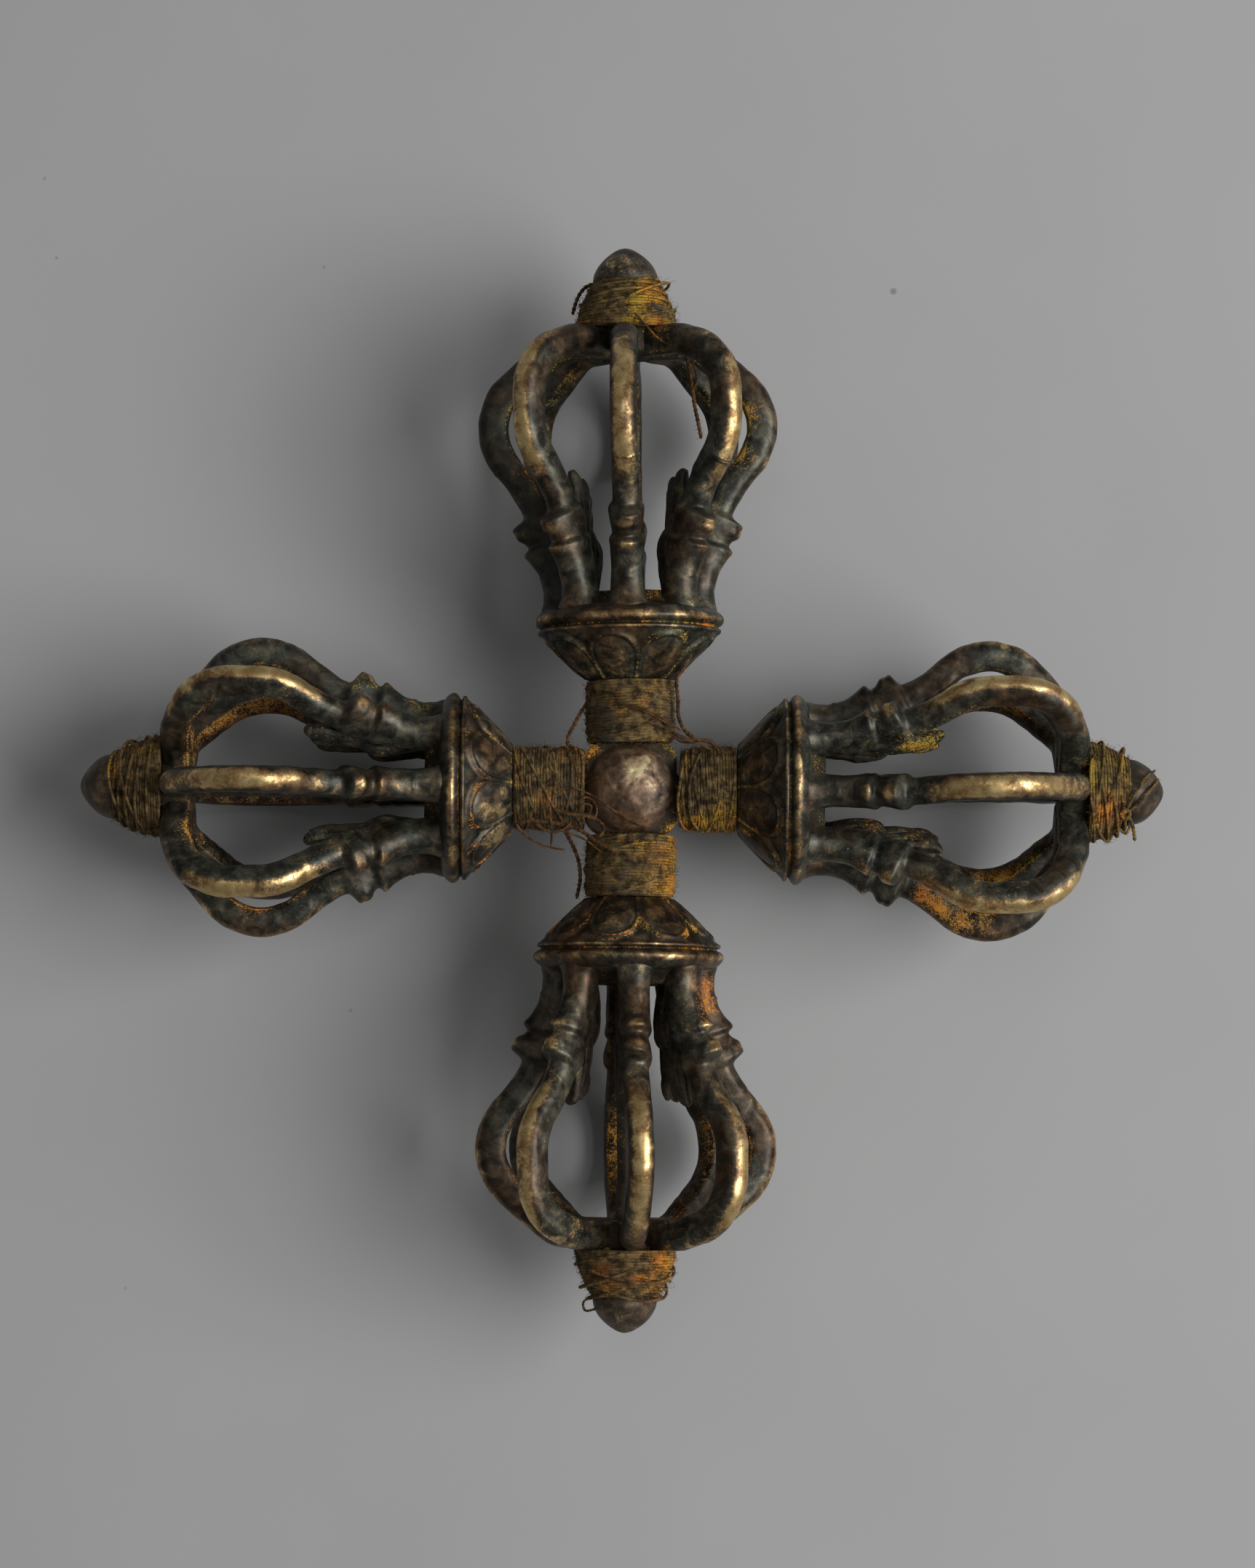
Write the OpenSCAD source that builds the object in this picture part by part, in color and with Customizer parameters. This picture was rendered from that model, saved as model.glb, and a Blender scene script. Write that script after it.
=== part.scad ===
// Crossed double dorje lying flat. A ball hub carries four nine-pronged heads on
// lotus seats, and thread binds the four necks and the four tips.
// Millimetres, Z up, origin on the resting plane below the middle of the hub.

/* [Hub] */
// Diameter of the ball where the four arms cross
hub_d = 14; // [12:0.5:18]
// Step from the side of the ball in to the square collar that fills the corners round it
collar_step = 0.2; // [0.1:0.05:1]
// Height of the collar
collar_h = 8; // [4:0.5:9]
// Radius of the collar's corners
collar_r = 2.5; // [1:0.1:4]
// Diameter of the four spigots that carry the heads
spigot_d = 8.8; // [7:0.2:9.6]
// Depth of a spigot inside its lotus seat
spigot_in = 6; // [4:0.25:6.5]
// Hub centre to the narrow end of the east lotus seat
neck_east = 15.6; // [14:0.1:24]
// Hub centre to the narrow end of the north lotus seat
neck_north = 16.6; // [14:0.1:24]
// Hub centre to the narrow end of the west lotus seat
neck_west = 17.4; // [14:0.1:24]
// Hub centre to the narrow end of the south lotus seat
neck_south = 16.1; // [14:0.1:24]

/* [Heads] */
// Lean of each arm in the plane of the cross: east, north, west, south
arm_lean = [-0.4, 0.6, -0.3, -0.7]; // [-2:0.1:2]
// Turn of each head about its own arm: east, north, west, south
head_turn = [4, 0, -1, -4.5]; // [-8:0.5:8]
// Turn of the lotus petals on each seat: east, north, west, south
petal_turn = [18.5, -13, -17, 18]; // [-22.5:0.5:22.5]
// Diameter of a head across its bows
cage_d = 44.6; // [42:0.2:50]
// Lotus seat face to the middle of the prong tips
cage_len = 39; // [34:0.2:44]

/* [Lotus seat] */
// Diameter of the narrow end
seat_neck_d = 12.4; // [11:0.2:14]
// Diameter of the rim of the petal cone
rim_d = 26.6; // [24:0.2:30]
// Length of the petal cone
cone_len = 6.7; // [5:0.1:9]
// Height of the plain rim behind the cone
rim_h = 0.7; // [0.5:0.1:1.5]
// Diameter of the groove between the rim and the ring
groove_d = 25; // [22:0.2:26]
// Width of the groove
groove_w = 0.5; // [0.3:0.1:1]
// Thickness of the round ring under the prongs
ring_t = 2.5; // [2:0.1:4]
// Height of the seat face above the crest of the ring
face_step = 0.1; // [0.05:0.05:0.5]
// Number of lotus petals
petals = 8; // [6:1:10]
// Diameter of a petal's dome where it leaves the cone
petal_d = 4.8; // [3:0.2:5.4]
// Height of a petal's dome
petal_h = 0.8; // [0.4:0.1:1.2]
// Thickness of the raised line round a petal
petal_line = 0.7; // [0.5:0.1:1]

/* [Prongs] */
// Width of an outer prong, which is round on its outer side
prong_w = 3.9; // [3.4:0.1:4.1]
// Thickness of an outer prong from its round back to its flat inner face
prong_t = 4.5; // [3.7:0.1:4.8]
// Width of the flat inner face
heel_w = 2.9; // [2.2:0.1:3.2]
// Diameter of the circle that the prong feet stand on
feet_d = 20.5; // [19:0.1:22]
// Widest point of the bow, back from the prong tips
bow_drop = 12.6; // [10:0.1:15]
// Bend radius of the bow
bow_bend = 8.8; // [6:0.1:10]
// Bend radius where the bow turns in to the tip
tip_bend = 6; // [4:0.1:9]
// Slope of a prong as it leaves the waist
rise_angle = 41; // [28:0.5:48]
// Slope of a prong between the bow and the tip
fall_angle = 50; // [40:0.5:55]
// Diameter of the spread foot of a prong
foot_d = 4.6; // [4.2:0.1:5.2]
// Height of the spread foot
foot_h = 1.3; // [0.8:0.1:2]
// Diameter of the tenon under the foot
tenon_d = 2.4; // [1.6:0.1:3]
// Depth of the foot tenon in the seat
tenon_in = 3; // [2:0.1:3.2]
// Diameter of the tenon at the tip
tip_tenon_d = 2; // [1.2:0.1:2.2]
// Depth of the tip tenon in the finial
tip_tenon_in = 2; // [1:0.1:2.2]

/* [Makara heads] */
// Height of the narrow end of the lower scale above the foot
scale_up = 1.3; // [1:0.1:3]
// Height of the brow bead above the foot
brow_up = 11.6; // [9:0.1:13]
// Brow bead out from the foot
brow_out = 4.6; // [3:0.1:5.5]
// Diameter of the lower scale at its flared edge
scale_1_d = 4.8; // [4.2:0.1:5.4]
// Diameter of the upper scale at its flared edge
scale_2_d = 4.7; // [4.2:0.1:5.4]
// Diameter of both scales at their narrow ends
scale_root_d = 3.8; // [3:0.1:4]
// Diameter of the bead on the brow
brow_d = 4.4; // [3.6:0.1:5]
// Height of the root, the middle and the end of the tongue above the foot
tongue_root_up = 2; // [1.6:0.1:4]
tongue_mid_up = 9.3; // [7:0.1:11]
tongue_end_up = 17.3; // [14:0.1:19]
// Root, middle and end of the tongue in from the foot
tongue_root_in = 2.4; // [1:0.1:2.8]
tongue_mid_in = 2.3; // [1:0.1:2.8]
tongue_end_in = 0.7; // [0:0.1:2]
// Thickness of the tongue
tongue_t = 2.6; // [2:0.1:3.2]
// Diameter of the lobes on the tongue
lobe_d = 3; // [2.4:0.1:3.4]
// Thickness of the jaw between the tongue and the prong
jaw_t = 1.9; // [1.2:0.1:2.4]

/* [Centre prong and finial] */
// Diameter of the straight centre prong
centre_d = 3; // [2.4:0.1:3.6]
// Depth of the centre prong in the seat and in the finial
centre_in = 3.4; // [2:0.1:3.5]
// Width across the flats of the crown that takes the prong tips
crown_w = 10.4; // [10:0.1:12]
// Wall of the crown above and below the prong tips
crown_wall = 0.25; // [0.2:0.05:1]
// Length of the finial's neck under the tip binding
finial_neck = 7.2; // [6:0.1:11]
// Diameter of the neck where it leaves the crown
finial_root_d = 9.8; // [8:0.1:10]
// Diameter of the neck under the dome
finial_waist_d = 6.4; // [5:0.1:7]
// Diameter of the dome
dome_d = 9.6; // [8:0.1:11]

/* [Thread] */
// Thickness of the outer winding thread
thread_d = 0.85; // [0.6:0.05:1]
// Step from one turn of the thread to the next
thread_step = 1.35; // [1.3:0.05:2]
// Thickness of the inner layers on the east neck
wrap_east = 0.95; // [0.6:0.05:1.5]
// Thickness of the inner layers on the north neck
wrap_north = 1.35; // [0.6:0.05:1.5]
// Thickness of the inner layers on the west neck
wrap_west = 0.85; // [0.6:0.05:1.5]
// Thickness of the inner layers on the south neck
wrap_south = 1.4; // [0.6:0.05:1.5]
// Thickness of the inner layers on a tip at its wide end
tip_wrap_low = 1.9; // [0.8:0.1:2.2]
// Thickness of the inner layers on a tip at its narrow end
tip_wrap_high = 0.6; // [0.5:0.1:1.2]
// Thickness of the loose thread ends
tail_d = 0.7; // [0.5:0.05:0.9]

/* [Clearances] */
// Gap left for braze round a tenon or spigot
braze_gap = 0.05; // [0.02:0.01:0.1]
// Gap left for braze at the end of a tenon or spigot
end_gap = 0.2; // [0.1:0.05:0.5]
// Gap between thread and what it is wound on or meets
wrap_gap = 0.05; // [0.02:0.01:0.2]

/* [Hidden] */
$fa = 6;
$fs = 0.25;

HEADS = ["east", "north", "west", "south"];
neck_u = [neck_east, neck_north, neck_west, neck_south];
neck_wrap = [wrap_east, wrap_north, wrap_west, wrap_south];
prong_count = 8;
head_ids = [0:len(HEADS) - 1];
prong_ids = [1:prong_count];

// Small step between pieces of one prong or thread, so that their skins never coincide.
skin_step = 0.02;
joint_lap = 0.1;
// Least straight stretch of a prong between its stem and its bow.
least_run = 0.3;

// Middle of a prong's round back to its flat inner face.
prong_in = prong_t - prong_w / 2;

// Heights along a head, from the narrow end of its seat.
ring_w = cone_len + rim_h + groove_w + ring_t / 2;
face_w = ring_w + ring_t / 2 + face_step;
tip_w = face_w + cage_len;
bow_w = tip_w - bow_drop;
crown_lo = tip_w - prong_in - crown_wall;
crown_hi = tip_w + prong_w / 2 + crown_wall;
dome_w = crown_hi + finial_neck;
face_d = feet_d + foot_d;
rest_h = cage_d / 2;

// Centre line of a prong in its own plane, as [distance from the arm, height along it].
// The stem bends as gently as the reach from foot to bow allows.
feet_r = feet_d / 2;
bow_r = (cage_d - prong_w) / 2;
bow_c = [bow_r - bow_bend, bow_w];
bow_in = bow_c + bow_bend * [cos(rise_angle), -sin(rise_angle)];
bow_out = bow_c + bow_bend * [cos(fall_angle), sin(fall_angle)];
stem_reach = bow_in - [feet_r, face_w];
stem_turn = 1 - cos(rise_angle);
stem_bend = min(stem_reach[1] * sin(rise_angle) - stem_reach[0] * cos(rise_angle),
                stem_reach[0] - least_run * sin(rise_angle)) / stem_turn;
rise_len = (stem_reach[0] - stem_bend * stem_turn) / sin(rise_angle);
stem_run = stem_reach[1] - stem_bend * sin(rise_angle) - rise_len * cos(rise_angle);
rise_start = bow_in - rise_len * [sin(rise_angle), cos(rise_angle)];
fall_len = (tip_w - bow_out[1] - tip_bend * (1 - sin(fall_angle))) / cos(fall_angle);
fall_end = bow_out + fall_len * [-sin(fall_angle), cos(fall_angle)];
tip_c = fall_end - tip_bend * [cos(fall_angle), sin(fall_angle)];
crown_r = crown_w / 2;

// Point of the stem at a height above the foot.
function stem_at(up) =
    let (rest = up - stem_run, bend_up = stem_bend * sin(rise_angle))
    [feet_r + (rest <= 0 ? 0
               : rest <= bend_up ? stem_bend - sqrt(stem_bend * stem_bend - rest * rest)
               : stem_bend * stem_turn + (rest - bend_up) * tan(rise_angle)), face_w + up];

// Makara forms, from the foot of the prong.
foot_at = [feet_r, face_w];
scale_0_at = foot_at + [0, scale_up];
brow_at = foot_at + [brow_out, brow_up];
scale_share = 0.72;
scale_1_at = scale_0_at + scale_share * (brow_at - scale_0_at);
tongue_root = foot_at + [-tongue_root_in, tongue_root_up];
tongue_mid = foot_at + [-tongue_mid_in, tongue_mid_up];
tongue_end = foot_at + [-tongue_end_in, tongue_end_up];
jaw_back = [for (share = [0.88, 0.62, 0.3]) stem_at(share * tongue_end_up), stem_at(tongue_root_up)];

// Petals lie on the slope of the cone.
slope = [(rim_d - seat_neck_d) / 2, cone_len];
slope_angle = atan2(slope[0], slope[1]);
petal_big = 0.6;
petal_small = 0.3;
small_share = 0.6;

// Windings: a list of [radius, height] where each half turn begins.
function neck_wind_r(h) = spigot_d / 2 + 2 * wrap_gap + neck_wrap[h] + thread_d / 2;
function neck_out(h) = neck_wind_r(h) + thread_d / 2;
tip_core = [[finial_root_d / 2 + wrap_gap + tip_wrap_low, crown_hi + wrap_gap],
            [finial_waist_d / 2 + wrap_gap + tip_wrap_high, dome_w - wrap_gap]];
tip_slope = (tip_core[1] - tip_core[0]) / norm(tip_core[1] - tip_core[0]);
function halves(len) = floor((len - thread_d) / (thread_step / 2));
function neck_start(h) = hub_d / 2 + wrap_gap;
function neck_len(h) = neck_u[h] - hub_d / 2 - 2 * wrap_gap;
function neck_winding(h) =
    let (n = halves(neck_len(h)), lead = (neck_len(h) - n * thread_step / 2) / 2)
    [for (i = [0:n]) [neck_wind_r(h), neck_start(h) + lead + i * thread_step / 2]];
function tip_winding() =
    let (len = norm(tip_core[1] - tip_core[0]), n = halves(len - thread_d),
         lead = (len - n * thread_step / 2) / 2,
         out = (thread_d / 2 + wrap_gap) * [tip_slope[1], -tip_slope[0]])
    [for (i = [0:n]) tip_core[0] + out + (lead + i * thread_step / 2) * tip_slope];

// Points on a winding's centre line, and the least gap from one turn to the next.
points_a_half = 12;
function half_point(a, b, i, t) =
    let (mid = (a + b) / 2, swing = (a[0] + b[0]) / 2, sign = i % 2 == 0 ? 1 : -1)
    [sign * ((a[0] - b[0]) / 2 + swing * cos(t)),
     sign * norm([swing, (b[1] - a[1]) / 2]) * sin(t),
     mid[1] - (b[1] - a[1]) / 2 * cos(t)];
function winding_points(w) =
    [for (i = [0:len(w) - 2], k = [0:points_a_half - 1])
        half_point(w[i], w[i + 1], i, 180 * k / points_a_half)];
function least_gap(p) =
    min([for (i = [0:len(p) - 1], j = [i + points_a_half:min(i + 3 * points_a_half, len(p) - 1)])
        norm(p[i] - p[j])]) - thread_d;

// Loose thread ends, as points from where they leave a binding or the cage.
hub_r = hub_d / 2;
from_north_tip = [-tip_core[0][0] - thread_d - wrap_gap, neck_north + crown_hi, 0];
from_north_cage = [0, neck_north + tip_w, 0];
from_north_left = [-neck_out(1), hub_r, 0];
from_north_right = [neck_out(1), hub_r, 0];
from_west_low = [-hub_r, -neck_out(2) * sin(45), neck_out(2) * cos(45)];
from_south_left = [-neck_out(3), -hub_r, 0];
TAILS = [
    ["north_tip_tail", from_north_tip, [[1.05, 6.1, 0.4], [0.1, 4.9, 0.8], [-0.5, 3.5, 0.6], [-0.9, 2.1, 0]]],
    ["north_cage_tail", from_north_cage, [[8.2, -2.9, 6], [8.6, -4.7, 5.2], [9, -7.1, 4], [9.4, -9.7, 2.6],
                                          [10, -12.3, 1], [10.4, -14.1, -0.4]]],
    ["north_neck_loop", from_north_left, [[-0.55, 4.4, 1.6], [-1.5, 2.6, 2], [-2.4, 0.8, 2.3], [-2.6, -0.4, 2.6],
                                          [-2.1, -1, 3.1], [-1.2, -1.5, 3.9]]],
    ["north_neck_thread", from_north_right, [[1.2, 10.6, 4.2], [0, 8.8, 4], [0.2, 6, 3.6], [0.3, 3.4, 3.4],
                                             [1.3, 1.2, 4], [2.9, 0, 4.6], [4.9, -0.4, 4.2], [6.3, -2, 5]]],
    ["west_tangle", from_west_low, [[-9.6, -0.8, 1], [-7.4, -0.6, 1], [-5, -0.8, 0.8], [-2.6, -1.2, 0.6],
                                    [-0.4, -2, 0.6], [1.6, -3.4, 1.2], [3.4, -4.6, 2.1], [5, -5.8, 2.9]]],
    ["west_curl", from_west_low, [[-4.2, 1, 2], [-2, 0.4, 1.6], [0.2, 0.2, 1.2], [2.2, -0.6, 1],
                                  [3, -1.8, 1.5], [2.4, -3, 1.5]]],
    ["south_west_tail", from_south_left, [[-2.25, -0.6, 2], [-1.45, -2.2, 1.6], [-0.85, -4.2, 1.2],
                                          [-0.75, -6.6, 0.8], [-1.25, -9.2, 0.2]]],
];
tail_sides = 8;
tail_frame = [0.3, 0.5, 0.8];
tail_ids = [0:len(TAILS) - 1];

NODES = concat(
    ["hub"],
    [for (h = head_ids) str("lotus_seat_", HEADS[h])],
    [for (h = head_ids, k = prong_ids) str("prong_", HEADS[h], "_", k)],
    [for (h = head_ids) str("centre_prong_", HEADS[h])],
    [for (h = head_ids) str("finial_", HEADS[h])],
    [for (h = head_ids) str("neck_binding_", HEADS[h])],
    [for (h = head_ids) str("tip_binding_", HEADS[h])],
    [for (t = tail_ids) TAILS[t][0]]
);
node = "all";

function is_drawn(name) = node == "all" || node == name;

// Places what is built up Z from the middle of the hub along one arm.
module on_arm(h) {
    translate([0, 0, rest_h]) rotate([0, 0, 90 * h + arm_lean[h]]) rotate([0, 90, 0]) children();
}

// Places what is built up Z from the narrow end of a seat, with the head's own turn.
module on_head(h) {
    on_arm(h) translate([0, 0, neck_u[h]]) rotate([0, 0, head_turn[h]]) children();
}

// Turns what is built in the XZ plane to prong k; prong 1 is the uppermost.
module at_prong(k) {
    rotate([0, 0, 180 + 360 / prong_count * (k - 1)]) children();
}

module at_each_prong() {
    for (k = prong_ids) at_prong(k) children();
}

// Section with a round back and a flat inner face, which looks towards side.
module prong_section(side, step) {
    depth = prong_in - step;
    circle(d = prong_w - 2 * step);
    translate([side * depth / 2, 0]) square([depth, heel_w - 2 * step], center = true);
}

module prong_bend(centre, radius, start, angle, side) {
    translate([centre[0], 0, centre[1]]) rotate([90, 0, 0])
        rotate_extrude(start = start, angle = angle)
            translate([radius, 0]) prong_section(side, 0);
}

// Straight stretch that laps into the bends at both ends.
module prong_run(from, slope, run, lap_end) {
    translate([from[0], 0, from[1]]) rotate([0, slope, 0]) translate([0, 0, -joint_lap])
        linear_extrude(run + joint_lap + lap_end) prong_section(-1, skin_step);
}

// Cone between two points of the prong's plane.
module flare(from, to, d1, d2) {
    step = to - from;
    translate([from[0], 0, from[1]]) rotate([0, atan2(step[0], step[1]), 0])
        cylinder(h = norm(step), d1 = d1, d2 = d2);
}

module bead(at, d) {
    translate([at[0], 0, at[1]]) sphere(d = d);
}

// Scales, brow bead, tongue and jaw of the makara that the prong grows from.
module makara() {
    flare(scale_0_at, scale_1_at, scale_root_d, scale_1_d);
    flare(scale_1_at, brow_at, scale_root_d, scale_2_d);
    bead(brow_at, brow_d);
    flare(tongue_root, tongue_mid, tongue_t, tongue_t);
    flare(tongue_mid, tongue_end, tongue_t, tongue_t);
    bead(tongue_root, lobe_d);
    bead(tongue_mid, lobe_d);
    bead(tongue_end, lobe_d);
    rotate([90, 0, 0]) linear_extrude(jaw_t, center = true)
        polygon(concat([tongue_root, tongue_mid, tongue_end], jaw_back));
}

module prong(h, k) {
    color("#4b3f33") on_head(h) at_prong(k) union() {
        if (stem_run > joint_lap) translate([feet_r, 0, face_w])
            linear_extrude(stem_run + joint_lap) prong_section(-1, skin_step);
        prong_bend([feet_r + stem_bend, face_w + stem_run], stem_bend, 180 - rise_angle, rise_angle, 1);
        prong_run(rise_start, rise_angle, rise_len, joint_lap);
        prong_bend(bow_c, bow_bend, -rise_angle, rise_angle + fall_angle, -1);
        prong_run(bow_out, -fall_angle, fall_len, joint_lap);
        prong_bend(tip_c, tip_bend, fall_angle, 90 - fall_angle, -1);
        prong_run([tip_c[0], tip_w], -90, tip_c[0] - crown_r, 0);
        translate([feet_r, 0, face_w]) cylinder(h = foot_h, d1 = foot_d, d2 = prong_w - 6 * skin_step);
        translate([feet_r, 0, face_w - tenon_in]) cylinder(h = tenon_in + foot_h / 2, d = tenon_d);
        translate([crown_r - tip_tenon_in, 0, tip_w]) rotate([0, 90, 0])
            cylinder(h = tip_tenon_in + joint_lap, d = tip_tenon_d);
        makara();
    }
}

module hub() {
    color("#6b4a33") {
        translate([0, 0, rest_h]) {
            sphere(d = hub_d);
            linear_extrude(collar_h, center = true)
                offset(collar_r) square(hub_d - 2 * (collar_step + collar_r), center = true);
        }
        for (h = head_ids) on_arm(h) cylinder(h = neck_u[h] + spigot_in, d = spigot_d);
    }
}

// Places a form on the petal cone, its Z square to the slope.
module on_slope(share) {
    at = [seat_neck_d / 2, 0] + share * slope;
    translate([at[0], 0, at[1]]) rotate([0, 90 + slope_angle, 0]) children();
}

module dome(d, height) {
    ball_r = (d * d / 4 + height * height) / (2 * height);
    translate([0, 0, height - ball_r]) sphere(r = ball_r);
}

module petal() {
    on_slope(petal_big) {
        dome(petal_d, petal_h);
        translate([0, 0, -petal_line / 4])
            rotate_extrude() translate([petal_d / 2 + petal_line, 0]) circle(d = petal_line);
    }
    on_slope(petal_small) dome(small_share * petal_d, small_share * petal_h);
}

module seat_body() {
    rim_r = rim_d / 2;
    rim_w = cone_len + rim_h;
    rotate_extrude() polygon([
        [0, 0], [seat_neck_d / 2, 0], [rim_r, cone_len], [rim_r, rim_w],
        [groove_d / 2, rim_w], [groove_d / 2, ring_w], [face_d / 2, ring_w],
        [face_d / 2, face_w], [0, face_w]
    ]);
    translate([0, 0, ring_w]) rotate_extrude() translate([face_d / 2, 0]) circle(d = ring_t);
}

module lotus_seat(h) {
    color("#51443a") on_head(h) difference() {
        union() {
            seat_body();
            for (i = [0:petals - 1])
                rotate([0, 0, 180 + petal_turn[h] + 360 / petals * i]) petal();
        }
        translate([0, 0, -1]) cylinder(h = spigot_in + end_gap + 1, d = spigot_d + 2 * braze_gap);
        translate([0, 0, face_w - centre_in - end_gap])
            cylinder(h = centre_in + end_gap + 1, d = centre_d + 2 * braze_gap);
        at_each_prong() translate([feet_r, 0, face_w - tenon_in - end_gap])
            cylinder(h = tenon_in + end_gap + 1, d = tenon_d + 2 * braze_gap);
    }
}

module centre_prong(h) {
    color("#40362d") on_head(h) translate([0, 0, face_w - centre_in])
        cylinder(h = crown_lo - face_w + 2 * centre_in, d = centre_d);
}

// Eight-sided crown for the prong tips, a waisted neck for the thread, and the dome.
module finial(h) {
    dome_r = dome_d / 2;
    color("#4f4236") on_head(h) difference() {
        union() {
            translate([0, 0, crown_lo]) rotate([0, 0, 180 / prong_count])
                cylinder(h = crown_hi - crown_lo, r = crown_r / cos(180 / prong_count), $fn = prong_count);
            rotate_extrude() polygon([
                [0, tip_w], [finial_root_d / 2, tip_w], [finial_root_d / 2, crown_hi],
                [finial_waist_d / 2, dome_w], [finial_waist_d / 2, dome_w + dome_r / 2],
                [0, dome_w + dome_r / 2]
            ]);
            intersection() {
                translate([0, 0, dome_w]) sphere(d = dome_d);
                translate([0, 0, dome_w]) cylinder(h = dome_d, d = 2 * dome_d);
            }
        }
        translate([0, 0, crown_lo - 1])
            cylinder(h = centre_in + end_gap + 1, d = centre_d + 2 * braze_gap);
        at_each_prong() translate([crown_r - tip_tenon_in - end_gap, 0, tip_w]) rotate([0, 90, 0])
            cylinder(h = tip_tenon_in + end_gap + 1, d = tip_tenon_d + 2 * braze_gap);
    }
}

// One thread of alternately tilted half turns, which meet without a kink.
module winding(w) {
    last = len(w) - 1;
    for (i = [0:last - 1]) {
        rise = (w[i + 1][1] - w[i][1]) / 2;
        swing = (w[i][0] + w[i + 1][0]) / 2;
        lap = i % 2 == 0 ? 0 : asin(joint_lap / swing);
        rotate([0, 0, 180 * i]) translate([(w[i][0] - w[i + 1][0]) / 2, 0, w[i][1] + rise])
            rotate([0, atan2(rise, swing), 0])
                rotate_extrude(start = -lap, angle = 180 + 2 * lap)
                    translate([norm([swing, rise]), 0])
                        circle(d = thread_d - (i % 2 == 0 ? 0 : 2 * skin_step), $fn = 32);
    }
    thread_end([w[0][0], w[0][1]], 0);
    thread_end([-w[last][0], w[last][1]], 180 * (last - 1));
}

// Straight end of a winding, one thread thick in length.
module thread_end(at, turn) {
    rotate([0, 0, turn]) translate([at[0], joint_lap, at[1]]) rotate([90, 0, 0])
        cylinder(h = thread_d + joint_lap, d = thread_d - 4 * skin_step, $fn = 32);
}

module neck_binding(h) {
    bore = spigot_d + 2 * wrap_gap;
    color("#6a4f2c") on_arm(h) {
        translate([0, 0, neck_start(h)]) difference() {
            cylinder(h = neck_len(h), d = bore + 2 * neck_wrap[h]);
            translate([0, 0, -1]) cylinder(h = neck_len(h) + 2, d = bore);
        }
        winding(neck_winding(h));
    }
}

module tip_binding(h) {
    color("#705428") on_head(h) {
        rotate_extrude() polygon([
            tip_core[0], tip_core[1],
            tip_core[1] - [tip_wrap_high, 0], tip_core[0] - [tip_wrap_low, 0]
        ]);
        winding(tip_winding());
    }
}

// Tube along a list of points, with one ring at each point.
function unit(v) = v / norm(v);
function heading(p, i) = unit(p[min(i + 1, len(p) - 1)] - p[max(i - 1, 0)]);
function ring(at, dir, d, sides) =
    let (a = unit(cross(dir, tail_frame)), b = cross(dir, a))
    [for (s = [0:sides - 1]) at + d / 2 * (cos(360 * s / sides) * a + sin(360 * s / sides) * b)];

module tube(p, d, sides) {
    rings = len(p);
    points = [for (i = [0:rings - 1]) each ring(p[i], heading(p, i), d, sides)];
    walls = [for (i = [0:rings - 2], s = [0:sides - 1])
        let (a = i * sides + s, b = i * sides + (s + 1) % sides)
        each [[a, b, b + sides], [a, b + sides, a + sides]]];
    first_cap = [for (s = [1:sides - 2]) [0, s + 1, s]];
    last = (rings - 1) * sides;
    last_cap = [for (s = [1:sides - 2]) [last, last + s, last + s + 1]];
    polyhedron(points, concat(walls, first_cap, last_cap));
}

module tail(t) {
    color("#4a3526") translate([0, 0, rest_h]) tube([for (p = TAILS[t][2]) TAILS[t][1] + p], tail_d, tail_sides);
}

for (h = head_ids) echo(str("least gap in the ", HEADS[h], " neck winding: ",
    least_gap(winding_points(neck_winding(h))), " mm"));
echo(str("least gap in each tip winding: ", least_gap(winding_points(tip_winding())), " mm"));

if (is_drawn("hub")) hub();
for (h = head_ids) if (is_drawn(str("lotus_seat_", HEADS[h]))) lotus_seat(h);
for (h = head_ids, k = prong_ids) if (is_drawn(str("prong_", HEADS[h], "_", k))) prong(h, k);
for (h = head_ids) if (is_drawn(str("centre_prong_", HEADS[h]))) centre_prong(h);
for (h = head_ids) if (is_drawn(str("finial_", HEADS[h]))) finial(h);
for (h = head_ids) if (is_drawn(str("neck_binding_", HEADS[h]))) neck_binding(h);
for (h = head_ids) if (is_drawn(str("tip_binding_", HEADS[h]))) tip_binding(h);
for (t = tail_ids) if (is_drawn(TAILS[t][0])) tail(t);
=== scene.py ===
import math
import bpy
import bmesh
import numpy as np
from mathutils import Matrix, Vector


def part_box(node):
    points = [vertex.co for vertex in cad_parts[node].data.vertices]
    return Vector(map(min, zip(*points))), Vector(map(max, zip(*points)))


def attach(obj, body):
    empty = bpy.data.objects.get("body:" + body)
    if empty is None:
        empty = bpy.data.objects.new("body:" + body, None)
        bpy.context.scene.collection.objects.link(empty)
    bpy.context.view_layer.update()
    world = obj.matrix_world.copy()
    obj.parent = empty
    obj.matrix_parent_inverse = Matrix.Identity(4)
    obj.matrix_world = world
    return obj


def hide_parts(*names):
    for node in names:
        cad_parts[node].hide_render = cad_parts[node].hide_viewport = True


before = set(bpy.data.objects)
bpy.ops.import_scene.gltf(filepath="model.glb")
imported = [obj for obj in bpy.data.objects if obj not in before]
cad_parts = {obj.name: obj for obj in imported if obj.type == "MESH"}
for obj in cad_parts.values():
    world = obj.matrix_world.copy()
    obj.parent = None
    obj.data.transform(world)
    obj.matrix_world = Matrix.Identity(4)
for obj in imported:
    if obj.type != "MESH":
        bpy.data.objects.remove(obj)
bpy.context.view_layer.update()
mm = 0.001
print("frame loaded:", len(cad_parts), "nodes")


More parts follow.
